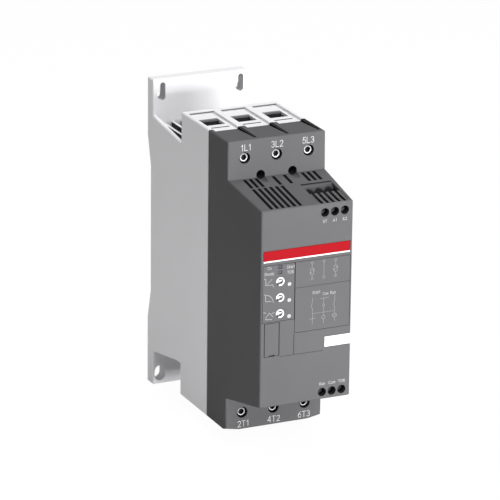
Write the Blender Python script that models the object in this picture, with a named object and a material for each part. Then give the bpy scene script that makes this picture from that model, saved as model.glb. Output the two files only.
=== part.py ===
# Three-phase soft starter: stepped dark front housing on a pale rear housing with a finned heat sink.
# Metres, +Z up, +Y towards the mounting plate. The origin is the middle of the base rectangle.
import math

import bmesh
import bpy
from mathutils import Matrix, Vector

# Overall envelope
WIDTH = 0.0700
DEPTH = 0.1800
HEIGHT = 0.2200
FOOT_DROP = 0.0094
FLANGE_RISE = 0.0096

# Walls and gaps
WALL = 0.0024
FRONT_WALL = 0.0030
SIDE_WALL = 0.0025
GAP = 0.0003
EDGE_ROUND = 0.0006
OVERCUT = 0.0050

# Depths behind the main front face
FACE_DEPTH = 0.0475
SEAM_DEPTH = 0.0790
BLOCK_DEPTH = 0.1230
FLANGE_THICKNESS = 0.0096

# Side outline, as distances inwards from the ends of the body
SLOPE_BACK = 0.0258
SLOPE_FRONT = 0.0335
UNDER_BACK = 0.0235
UNDER_FRONT = 0.0330
SIDE_TAPER = 0.0024
NICK_RISE = 0.0020
NICK_RUN = 0.0110
NICK_REACH = 0.0060

# Planes that several pieces share
HALF_WIDTH = WIDTH / 2
FRONT_Y = -DEPTH / 2
BACK_Y = DEPTH / 2
FACE_Y = FRONT_Y + FACE_DEPTH
SEAM_Y = FRONT_Y + SEAM_DEPTH
BLOCK_Y = FRONT_Y + BLOCK_DEPTH
BLOCK_WALL_Y = BLOCK_Y - WALL
FLANGE_Y = BACK_Y - FLANGE_THICKNESS
LOW_Z = FOOT_DROP
HIGH_Z = HEIGHT - FLANGE_RISE
MIDDLE_Z = (LOW_Z + HIGH_Z) / 2
FRONT_HALF_WIDTH = HALF_WIDTH - SIDE_TAPER
SLOPE_FRONT_Z = HIGH_Z - SLOPE_FRONT
SLOPE_BACK_Z = HIGH_Z - SLOPE_BACK
UNDER_FRONT_Z = LOW_Z + UNDER_FRONT
UNDER_BACK_Z = LOW_Z + UNDER_BACK
ROOM_LOW_Z = UNDER_BACK_Z + WALL
ROOM_HIGH_Z = SLOPE_BACK_Z - WALL

# Gussets, foot opening and relieved back of the rear housing
GUSSET_FRONT = 0.0217
GUSSET_BACK = 0.0156
FOOT_CUT_FRONT = 0.0222
FOOT_CUT_BACK = 0.0152
FOOT_CUT_FLAT = 0.0080
RELIEF_DEPTH = 0.0053
RELIEF_LOW = 0.0380
RELIEF_LOW_RUN = 0.0210
RELIEF_HIGH = 0.0310
RELIEF_HIGH_RUN = 0.0210

# Mounting holes: keyholes in the flange and oblong holes in the foot
KEY_INSET = 0.0060
KEY_DROP = 0.0110
KEY_RADIUS = 0.0031
KEY_SLOT_WIDTH = 0.0039
KEY_SLOT_TOP = 0.0118
KEY_SLOT_SHIFT = 0.0011
KEY_OFFSET = HALF_WIDTH - KEY_INSET
KEY_LEVEL = HEIGHT - KEY_DROP
FOOT_HOLE_INSET = 0.0054
FOOT_HOLE_LEVEL = 0.0078
FOOT_HOLE_WIDTH = 0.0077
FOOT_HOLE_HEIGHT = 0.0114
FOOT_HOLE_OFFSET = HALF_WIDTH - FOOT_HOLE_INSET
POCKET_FRONT_SKIN = 0.0030
POCKET_MARGIN = 0.0070
POCKET_RIB = 0.0024
POCKET_RIBS = 2

# Power terminals: three phases side by side, one tray and one clamp room for each
PHASE_MARGIN = 0.0005
DIVIDER = 0.0046
BARRIER = 0.0038
PHASE_PITCH = (WIDTH - 2 * PHASE_MARGIN) / 3
PHASES = (-PHASE_PITCH, 0.0, PHASE_PITCH)
OUTER_PHASES = (-PHASE_PITCH, PHASE_PITCH)
TRAY_HALF_WIDTH = (PHASE_PITCH - DIVIDER) / 2
POCKET_HALF_WIDTH = (PHASE_PITCH - BARRIER) / 2
SCREW_INSET = 0.0120
TRAY_DEPTH = 0.0018
TRAY_BACK_GAP = 0.0057
TRAY_BACK = BLOCK_DEPTH - TRAY_BACK_GAP
RAMP_FRONT = 0.0040
CLAMP_HALF_HEIGHT = 0.0080
CLAMP_WALL_FRONT = 0.0042
CLAMP_WALL_BACK = 0.0028
CLAMP_WALL_SIDE = 0.0024
CLAMP_LEAD = 0.0151
POCKET_INSET = SCREW_INSET - CLAMP_HALF_HEIGHT - GAP
POCKET_END = SCREW_INSET + CLAMP_HALF_HEIGHT + GAP
WINDOW_SHIFT = 0.0085
WINDOW_FRONT = (SEAM_DEPTH + BLOCK_DEPTH) / 2 - WINDOW_SHIFT
WINDOW_LENGTH = 0.0115
WINDOW_MARGIN = 0.0026
WINDOW_HALF_WIDTH = TRAY_HALF_WIDTH - WINDOW_MARGIN
HINGE_LINE_LEAD = 0.0062
HINGE_LINE_WIDTH = 0.0008
HINGE_LINE_DEPTH = 0.0006
ACCESS_RADIUS = 0.0039
HEAD_RADIUS = 0.0050
HEAD_LENGTH = 0.0056
THREAD_RADIUS = 0.0038
HEX_ACROSS = 0.0050
HEX_DEPTH = 0.0038
THREAD_GAP = 0.0004
BAR_THICKNESS = 0.0030
BAR_SIDE_GAP = 0.0005
BAR_SLOT_GAP = 0.0006
BAR_END_INSET = 0.0058
BAR_Y = FRONT_Y + WINDOW_FRONT - 2 * GAP - BAR_THICKNESS
BAR_BACK_Y = BAR_Y + BAR_THICKNESS
BAR_HALF_WIDTH = POCKET_HALF_WIDTH - GAP - CLAMP_WALL_SIDE - BAR_SIDE_GAP
CLAMP_FRONT_Y = BAR_Y - CLAMP_LEAD
CLAMP_BACK_Y = FRONT_Y + WINDOW_FRONT + WINDOW_LENGTH + 2 * GAP + CLAMP_WALL_BACK

# Cover screws, deep in their channels between the phases
COVER_SCREW_OFFSET = PHASE_PITCH / 2
COVER_SCREW_INSET = 0.0246
CHANNEL_RADIUS = 0.0032
CHANNEL_TROUGH = 0.0085
CHANNEL_LEDGE = 0.0040
CHANNEL_WALL = 0.0014
COVER_HEAD_RADIUS = 0.0028
COVER_HEAD_LENGTH = 0.0024
COVER_THREAD_RADIUS = 0.0015
COVER_THREAD_LENGTH = 0.0160

# Vents on the sloping shoulder
VENT_WIDTH = 0.0019
VENT_PITCH = 0.0041
LONG_VENT_INSET = 0.0082
LONG_VENT_COUNT = 6
LONG_VENT_FRONT = 0.0036
LONG_VENT_LENGTH = 0.0262
SHORT_VENT_BACK = 0.0029
SHORT_VENT_LENGTH = 0.0106
SHORT_VENTS = (-0.0242, -0.0201, -0.0160, -0.0036, 0.0043, 0.0174, 0.0215, 0.0256)

# Control terminals
CONTROL_INSET = 0.0201
CONTROL_PITCH = 0.0071
CONTROL_UPPER_DROP = 0.0059
CONTROL_LOWER_RISE = 0.0048
CONTROL_HOLE_RADIUS = 0.0030
CONTROL_HEAD_RADIUS = 0.0022
CONTROL_HEAD_LENGTH = 0.0030
CONTROL_HEAD_FRONT = 0.0046
CONTROL_THREAD_RADIUS = 0.0012
CONTROL_SLOT_WIDTH = 0.0007
CONTROL_SLOT_DEPTH = 0.0009
CONTROL_UPPER_LEVEL = SLOPE_FRONT_Z - CONTROL_UPPER_DROP
CONTROL_LOWER_LEVEL = UNDER_FRONT_Z + CONTROL_LOWER_RISE
CONTROL_XS = tuple(FRONT_HALF_WIDTH - CONTROL_INSET + CONTROL_PITCH * i for i in range(3))
ENTRY_FRONT = FRONT_WALL + 2 * GAP
ENTRY_LENGTH = 0.0260
ENTRY_MARGIN = 0.0036
ENTRY_LEFT = CONTROL_XS[0] - ENTRY_MARGIN
ENTRY_RIGHT = CONTROL_XS[2] + ENTRY_MARGIN
ENTRY_WIRE_LENGTH = 0.0048
ENTRY_WIRE_WIDTH = 0.0046
SCOOP_DEPTH = 0.0040
SCOOP_LENGTH = 0.0119
LOUVRE_COUNT = 5
LOUVRE_FRONT = 0.0008
LOUVRE_DEPTH = 0.0007
LOUVRE_NOTCH = 0.0015
CONTROL_BLOCK_REACH = 0.0078
CONTROL_CLAMP_WALL = 0.0012
CONTROL_CLAMP_HALF_WIDTH = 0.0029
CONTROL_CLAMP_HALF_HEIGHT = 0.0026
CONTROL_CLAMP_LEAD = 0.0031
CONTROL_CLAMP_LENGTH = 0.0106
CHAMBER_LEAD = 0.0022
CONTACT_LEAD = 0.0109
CONTROL_CHAMBER_FRONT = CONTROL_HEAD_FRONT + CHAMBER_LEAD
CONTACT_FRONT = CONTROL_HEAD_FRONT + CONTACT_LEAD
CONTACT_THICKNESS = 0.0010
CONTACT_HALF_WIDTH = 0.0011
CONTACT_REACH = 0.0150
CONTROL_CLAMP_FRONT = CONTACT_FRONT - CONTROL_CLAMP_LEAD
CONTROL_CLAMP_BACK = CONTROL_CLAMP_FRONT + CONTROL_CLAMP_LENGTH
ENTRY_WIRE_GAP = 0.0004
ENTRY_WIRE_FRONT = CONTACT_FRONT + CONTACT_THICKNESS + ENTRY_WIRE_GAP

# Panels on the main front face. The height they leave free is shared between the ends of the face
PANEL_THICKNESS = 0.0016
PANEL_LEFT_MARGIN = 0.0015
PANEL_RIGHT_MARGIN = 0.0013
SETTINGS_HEIGHT = 0.0388
SETTINGS_WIDTH = 0.0228
PLATE_HEIGHT = 0.0482
PLATE_LINE_DROP = 0.0178
FIELD_DROP = 0.0153
PANEL_SHARE = 0.4
PANEL_STEP = 0.0088
FACE_SPARE = SLOPE_FRONT_Z - UNDER_FRONT_Z - PLATE_HEIGHT - FIELD_DROP
PANEL_LEFT = PANEL_LEFT_MARGIN - FRONT_HALF_WIDTH
PANEL_RIGHT = FRONT_HALF_WIDTH - PANEL_RIGHT_MARGIN
PANEL_SPLIT = PANEL_LEFT + SETTINGS_WIDTH
PANEL_TOP = SLOPE_FRONT_Z - PANEL_SHARE * FACE_SPARE - PANEL_STEP
SETTINGS_BOTTOM = PANEL_TOP - SETTINGS_HEIGHT
PLATE_BOTTOM = PANEL_TOP - PLATE_HEIGHT
PLATE_LINE = PANEL_TOP - PLATE_LINE_DROP
FIELD_LINE = PLATE_BOTTOM - FIELD_DROP
LINE_WIDTH = 0.0005
LINE_DEPTH = 0.0004
BAND_RISE = 0.0020
BAND_LOW = PANEL_TOP + BAND_RISE
BAND_WIDTH = 0.0082
BAND_THICKNESS = 0.0005
TAG_LENGTH = 0.0178
TAG_LEFT = PANEL_RIGHT - TAG_LENGTH
TAG_RISE = 0.0021
TAG_LOW = FIELD_LINE + TAG_RISE
TAG_WIDTH = 0.0075
TAG_THICKNESS = 0.0010
COVER_INSET = 0.0017
COVER_LEFT = PANEL_LEFT + COVER_INSET
COVER_WIDTH = 0.0100
COVER_RIGHT = COVER_LEFT + COVER_WIDTH
COVER_HIGH = SETTINGS_BOTTOM - GAP
COVER_HEIGHT = 0.0231
COVER_LOW = COVER_HIGH - COVER_HEIGHT
COVER_THICKNESS = 0.0018
COVER_CLIP_LENGTH = 0.0060
COVER_CLIP_WIDTH = 0.0046
COVER_CLIP_THICKNESS = 0.0012
COVER_CLIP_INSET = 0.0030
FINGER_WIDTH = 0.0042
FINGER_HEIGHT = 0.0009
FINGER_DEPTH = 0.0011
BUS_HALF_WIDTH = 0.0028
BUS_HALF_HEIGHT = 0.0062
BUS_WALL = 0.0008
BUS_SOCKET_DEPTH = 0.0060

# Setting dials, potentiometers, light pipes
DIAL_INSET = 0.0123
DIAL_DROP = 0.0115
DIAL_X = PANEL_LEFT + DIAL_INSET
DIAL_TOP = PANEL_TOP - DIAL_DROP
DIAL_PITCH = 0.0110
DIAL_COUNT = 3
DIAL_RADIUS = 0.0026
DIAL_FRONT = 0.0007
DIAL_THICKNESS = 0.0022
DIAL_SHAFT_RADIUS = 0.0011
DIAL_ARROW_DEPTH = 0.0006
DIAL_ARROW_REACH = 0.0020
DIAL_ARROW_TAIL = 0.0017
DIAL_ARROW_WING = 0.00125
DIAL_ARROW_NECK = 0.0004
DIAL_ARROW_STEP = 0.0002
POT_HALF_SIZE = 0.0034
POT_LENGTH = 0.0080
LAMP_INSET = 0.0121
LAMP_DROP = 0.0016
LAMP_PITCH = 0.0037
LAMP_X = PANEL_LEFT + LAMP_INSET
LAMP_LEVELS = (PANEL_TOP - LAMP_DROP, PANEL_TOP - LAMP_DROP - LAMP_PITCH)
LAMP_HALF_WIDTH = 0.0012
LAMP_HALF_HEIGHT = 0.0009
LAMP_CHIP_LENGTH = 0.0012

# Control board
BOARD_THICKNESS = 0.0016
CONTROL_BOARD_DEPTH = 0.0174
BOARD_SIDE_GAP = 0.0014
BOARD_LOW_GAP = 0.0118
BOARD_HIGH_GAP = 0.0120
CONTROL_BOARD_HALF_WIDTH = FRONT_HALF_WIDTH - WALL - BOARD_SIDE_GAP
CONTROL_BOARD_LOW = CONTROL_LOWER_LEVEL + BOARD_LOW_GAP
CONTROL_BOARD_HIGH = CONTROL_UPPER_LEVEL - BOARD_HIGH_GAP
BOARD_FRONT_Y = FRONT_Y + CONTROL_BOARD_DEPTH
BOARD_BACK_Y = BOARD_FRONT_Y + BOARD_THICKNESS
POST_RADIUS = 0.0024
BOARD_SCREW_RADIUS = 0.0012
BOARD_HEAD_RADIUS = 0.0022
BOARD_HEAD_LENGTH = 0.0016
BOARD_SCREW_LENGTH = 0.0060
CONTROL_POST_INSET = 0.0033
CONTROL_POST_RISE = 0.0100
CONTROL_POST_DROP = 0.0080
CONTROL_POST_X = CONTROL_BOARD_HALF_WIDTH - CONTROL_POST_INSET
CONTROL_POST_LOW = CONTROL_BOARD_LOW + CONTROL_POST_RISE
CONTROL_POST_HIGH = CONTROL_BOARD_HIGH - CONTROL_POST_DROP

# Power board and what stands on it
POWER_BOARD_LEAD = 0.0066
POWER_FRONT_Y = BAR_Y - POWER_BOARD_LEAD
POWER_BACK_Y = POWER_FRONT_Y + BOARD_THICKNESS
POWER_SIDE_GAP = 0.0008
POWER_LOW_GAP = 0.0147
POWER_HIGH_GAP = 0.0132
POWER_BOARD_HALF_WIDTH = HALF_WIDTH - WALL - POWER_SIDE_GAP
POWER_BOARD_LOW = ROOM_LOW_Z + POWER_LOW_GAP
POWER_BOARD_HIGH = ROOM_HIGH_Z - POWER_HIGH_GAP
POWER_POST_X = PHASE_PITCH / 2
POWER_POST_INSET = 0.0055
POWER_POST_LOW = POWER_BOARD_LOW + POWER_POST_INSET
POWER_POST_HIGH = POWER_BOARD_HIGH - POWER_POST_INSET
RELAY_SPACING = 0.0062
RELAY_HALF_WIDTH = (PHASE_PITCH - RELAY_SPACING) / 2
RELAY_HALF_HEIGHT = 0.0210
RELAY_LENGTH = 0.0300
RELAY_POST_RADIUS = 0.0024
RELAY_POST_SPREAD = 0.0150
TRANSFORMER_HALF_WIDTH = 0.0105
TRANSFORMER_HALF_HEIGHT = 0.0130
TRANSFORMER_LENGTH = 0.0220
TRANSFORMER_DROP = 0.0205
TRANSFORMER_LEVEL = MIDDLE_Z - TRANSFORMER_DROP
CORE_MARGIN = 0.0040
CAPACITOR_RADIUS = 0.0080
CAPACITOR_LENGTH = 0.0250
CAPACITOR_RISE = 0.0095
CAPACITOR_LEVEL = MIDDLE_Z + CAPACITOR_RISE
HEADER_RISE = 0.0325
HEADER_LEVEL = MIDDLE_Z + HEADER_RISE
HEADER_HALF_WIDTH = 0.0085
HEADER_HALF_HEIGHT = 0.0030
HEADER_LENGTH = 0.0060
RIBBON_THICKNESS = 0.0008
RIBBON_HALF_WIDTH = 0.0075
RIBBON_DROOP = 0.0120

# Thyristor modules on the heat sink
MODULE_HALF_WIDTH = HALF_WIDTH - WALL - GAP - PHASE_PITCH
MODULE_END_SPACE = 0.03345
MODULE_HALF_HEIGHT = (ROOM_HIGH_Z - ROOM_LOW_Z) / 2 - MODULE_END_SPACE
MODULE_FOOT_LENGTH = 0.0080
MODULE_FOOT_THICKNESS = 0.0080
MODULE_STUD_INSET = 0.0120
MODULE_STUD_SPREAD = MODULE_HALF_HEIGHT - MODULE_STUD_INSET
BAR_SPLIT_INSET = 0.0040
BAR_HALF_SPLIT = MODULE_STUD_SPREAD / 2 - BAR_SPLIT_INSET
MODULE_SCREW_RADIUS = 0.0022
MODULE_HEAD_RADIUS = 0.0040
MODULE_HEAD_LENGTH = 0.0036
MODULE_SCREW_LENGTH = 0.0120
MODULE_WINDOW_MARGIN = 0.0012
BAR_SCREW_RADIUS = 0.0024
BAR_HEAD_RADIUS = 0.0045
BAR_HEAD_LENGTH = 0.0030
BAR_SCREW_LENGTH = 0.0090

# Heat sink
SINK_BASE = 0.0060
SINK_SIDE_GAP = 0.0007
SINK_Y = BLOCK_Y + GAP
SINK_HALF_WIDTH = HALF_WIDTH - SIDE_WALL - SINK_SIDE_GAP
SINK_LOW_REACH = 0.0019
SINK_HIGH_REACH = 0.0042
SINK_LOW = ROOM_LOW_Z - SINK_LOW_REACH
SINK_HIGH = ROOM_HIGH_Z + SINK_HIGH_REACH
FIN_COUNT = 9
FIN_MARGIN = 0.0045
FIN_PITCH = 2 * (SINK_HALF_WIDTH - FIN_MARGIN) / (FIN_COUNT - 1)
FIN_THICKNESS = 0.0018
FIN_TIP_SHARE = 0.7
SINK_SCREW_INSET = 0.0080
SINK_SCREW_RADIUS = 0.0018
SINK_HEAD_RADIUS = 0.0032
SINK_HEAD_LENGTH = 0.0026
SINK_SCREW_LENGTH = 0.0070

# Screw heads, as shares of their own height or radius
HEAD_CROWN = 0.75
HEAD_RIM = 0.6
DRIVE_SLOT_WIDTH = 0.3
DRIVE_SLOT_DEPTH = 0.45

# Facets round full circles
FINE = 24
MEDIUM = 20
COARSE = 10


def end_level(side, inset):
    """Height of a point that lies an inset inside the body's top (side 1) or bottom (side -1)."""
    return HIGH_Z - inset if side > 0 else LOW_Z + inset


def shoulder_level(side, y):
    """Height of the sloping shoulder (side 1) or of the slanted underside (side -1) at a depth y."""
    share = (y - FRONT_Y) / FACE_DEPTH
    if side > 0:
        return SLOPE_FRONT_Z + (SLOPE_BACK_Z - SLOPE_FRONT_Z) * share
    return UNDER_FRONT_Z + (UNDER_BACK_Z - UNDER_FRONT_Z) * share


def side_at(y):
    """Half width of the front housing at a depth y: it narrows towards the front."""
    share = min((y - FRONT_Y) / FACE_DEPTH, 1.0)
    return FRONT_HALF_WIDTH + SIDE_TAPER * share


# Building blocks

def loft(bm, loops):
    """Closed body through loops with equal numbers of points."""
    rings = [[bm.verts.new(point) for point in loop] for loop in loops]
    count = len(rings[0])
    for near, far in zip(rings, rings[1:]):
        for i in range(count):
            j = (i + 1) % count
            bm.faces.new((near[i], near[j], far[j], far[i]))
    bm.faces.new(reversed(rings[0]))
    bm.faces.new(rings[-1])


def prism(bm, outline, axis, low, high):
    """Outline in the two other axes, in x, y, z order, drawn out along the axis."""
    def place(u, v, w):
        return {"x": (w, u, v), "y": (u, w, v), "z": (u, v, w)}[axis]
    loft(bm, [[place(u, v, end) for u, v in outline] for end in (low, high)])


def box(bm, x, y, z):
    prism(bm, [(x[0], y[0]), (x[1], y[0]), (x[1], y[1]), (x[0], y[1])], "z", z[0], z[1])


def circle(u, v, radius, sides, turn=0.0):
    """Points of a circle, or of a polygon with its first corner at the turn angle."""
    angles = [turn + 2 * math.pi * i / sides for i in range(sides)]
    return [(u + radius * math.cos(a), v + radius * math.sin(a)) for a in angles]


def rod(bm, x, z, radius, low, high, sides=MEDIUM):
    """Round bar along Y."""
    prism(bm, circle(x, z, radius, sides), "y", low, high)


def turned(bm, x, z, profile, sides):
    """Solid turned about a line along Y: profile holds (y, radius) pairs from front to back."""
    loft(bm, [[(u, y, v) for u, v in circle(x, z, radius, sides)] for y, radius in profile])


def slot_outline(u, v, width, height, steps=8):
    """Upright slot with round ends, centred at (u, v)."""
    radius = width / 2
    reach = height / 2 - radius
    upper = [(u + radius * math.cos(a), v + reach + radius * math.sin(a))
             for a in (math.pi * i / steps for i in range(steps + 1))]
    lower = [(u - radius * math.cos(a), v - reach - radius * math.sin(a))
             for a in (math.pi * i / steps for i in range(steps + 1))]
    return upper + lower


def new_object(name, bm, material=None, origin=(0, 0, 0), smooth=False):
    bmesh.ops.recalc_face_normals(bm, faces=bm.faces)
    bmesh.ops.transform(bm, matrix=Matrix.Translation(-Vector(origin)), verts=bm.verts)
    mesh = bpy.data.meshes.new(name)
    bm.to_mesh(mesh)
    bm.free()
    obj = bpy.data.objects.new(name, mesh)
    obj.location = origin
    bpy.context.scene.collection.objects.link(obj)
    if material:
        mesh.materials.append(material)
    if smooth:
        mesh.shade_smooth()
        mesh.set_sharp_from_angle(angle=math.radians(35))
    return obj


def combine(obj, bm, name, operation):
    """Boolean with a guide solid that stays hidden."""
    guide = new_object(name, bm, origin=obj.location)
    guide.hide_render = True
    guide.display_type = "WIRE"
    step = obj.modifiers.new(name, "BOOLEAN")
    step.operation = operation
    step.solver = "EXACT"
    step.object = guide


def carve(obj, bm, name):
    combine(obj, bm, name, "DIFFERENCE")


def fuse(obj, bm, name):
    combine(obj, bm, name, "UNION")


def round_edges(obj, width, segments=1):
    step = obj.modifiers.new("round_edges", "BEVEL")
    step.width = width
    step.segments = segments
    step.limit_method = "ANGLE"
    step.angle_limit = math.radians(40)


def make_material(name, colour, roughness, metallic=0.0):
    material = bpy.data.materials.new(name)
    material.use_nodes = True
    shader = material.node_tree.nodes["Principled BSDF"]
    shader.inputs["Base Color"].default_value = (*colour, 1.0)
    shader.inputs["Roughness"].default_value = roughness
    shader.inputs["Metallic"].default_value = metallic
    return material


# Front housing: stepped shell, open at the back, tapered towards the front

def stepped_outer(bm):
    """Outer body of the front housing: narrow box in front of the full-height terminal part."""
    wide, narrow = HALF_WIDTH, FRONT_HALF_WIDTH
    back = SEAM_Y - GAP / 2
    corners = {
        "f": [(-narrow, FRONT_Y, UNDER_FRONT_Z), (narrow, FRONT_Y, UNDER_FRONT_Z),
              (narrow, FRONT_Y, SLOPE_FRONT_Z), (-narrow, FRONT_Y, SLOPE_FRONT_Z)],
        "s": [(-wide, FACE_Y, UNDER_BACK_Z), (wide, FACE_Y, UNDER_BACK_Z),
              (wide, FACE_Y, SLOPE_BACK_Z), (-wide, FACE_Y, SLOPE_BACK_Z)],
        "u": [(-wide, FACE_Y, LOW_Z), (wide, FACE_Y, LOW_Z),
              (wide, FACE_Y, HIGH_Z), (-wide, FACE_Y, HIGH_Z)],
        "b": [(-wide, back, LOW_Z), (wide, back, LOW_Z), (wide, back, HIGH_Z), (-wide, back, HIGH_Z)],
    }
    f, s, u, b = ([bm.verts.new(point) for point in corners[key]] for key in "fsub")
    for face in (
        (f[0], f[1], f[2], f[3]), (f[3], f[2], s[2], s[3]), (f[1], f[0], s[0], s[1]),
        (f[0], f[3], s[3], s[0]), (f[2], f[1], s[1], s[2]),
        (s[3], s[2], u[2], u[3]), (u[0], u[1], s[1], s[0]),
        (u[0], s[0], s[3], u[3], b[3], b[0]), (u[1], b[1], b[2], u[2], s[2], s[1]),
        (u[3], u[2], b[2], b[3]), (u[1], u[0], b[0], b[1]), (b[0], b[3], b[2], b[1]),
    ):
        bm.faces.new(face)


def front_cavity(bm):
    """Room for the boards: follows the shoulder, the underside and the tapered sides inside the walls."""
    def ring(y, upper, lower):
        half = side_at(y) - WALL
        return [(-half, y, lower), (half, y, lower), (half, y, upper), (-half, y, upper)]
    front = FRONT_Y + FRONT_WALL
    loops = [ring(front, shoulder_level(1, front) - WALL, shoulder_level(-1, front) + WALL)]
    upper, lower = SLOPE_BACK_Z - WALL, UNDER_BACK_Z + WALL
    loops.append(ring(FACE_Y, upper, lower))
    loops.append(ring(SEAM_Y + OVERCUT, upper, lower))
    loft(bm, loops)


def terminal_pockets(bm, front, back):
    """Three rooms for the clamps at each end, open towards the seam."""
    for side in (1, -1):
        levels = sorted((end_level(side, POCKET_INSET), end_level(side, POCKET_END)))
        for x in PHASES:
            box(bm, (x - POCKET_HALF_WIDTH, x + POCKET_HALF_WIDTH), (front, back), levels)


def front_ramps(bm):
    """Sunk floors between the ridges at both ends: they climb to the edge of the terminal face."""
    start, end = FACE_Y + RAMP_FRONT, SEAM_Y + OVERCUT
    for side in (1, -1):
        outer, edge = end_level(side, -OVERCUT), end_level(side, 0.0)
        deep = end_level(side, TRAY_DEPTH)
        for x in PHASES:
            outline = [(start, edge), (SEAM_Y, deep), (end, deep), (end, outer), (start, outer)]
            prism(bm, outline, "x", x - TRAY_HALF_WIDTH, x + TRAY_HALF_WIDTH)


def corner_nicks(bm):
    """Small slanted cuts at the two lower front corners of the terminal part."""
    over = 1.5
    for side in (-1, 1):
        tip = Vector((side * HALF_WIDTH, FACE_Y, LOW_Z))
        up = tip + Vector((0, 0, NICK_RISE))
        along = tip + Vector((-side * NICK_RUN, 0, 0))
        back = tip + Vector((0, NICK_REACH, 0))
        middle = (up + along + back) / 3
        ring = [middle + (corner - middle) * over for corner in (up, along, back)]
        drop = Vector((side, -1, -2)) * NICK_RISE
        loft(bm, [ring, [corner + drop for corner in ring]])


def vents(bm):
    """Slots through the sloping shoulder, in two rows."""
    bottom, top = SLOPE_FRONT_Z - 2 * OVERCUT, SLOPE_BACK_Z + OVERCUT
    first = LONG_VENT_INSET - FRONT_HALF_WIDTH
    rows = [(first + VENT_PITCH * i, LONG_VENT_FRONT, LONG_VENT_LENGTH) for i in range(LONG_VENT_COUNT)]
    short_front = FACE_DEPTH - SHORT_VENT_BACK - SHORT_VENT_LENGTH
    rows += [(x, short_front, SHORT_VENT_LENGTH) for x in SHORT_VENTS]
    for x, front, length in rows:
        start = FRONT_Y + front
        box(bm, (x - VENT_WIDTH / 2, x + VENT_WIDTH / 2), (start, start + length), (bottom, top))


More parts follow.
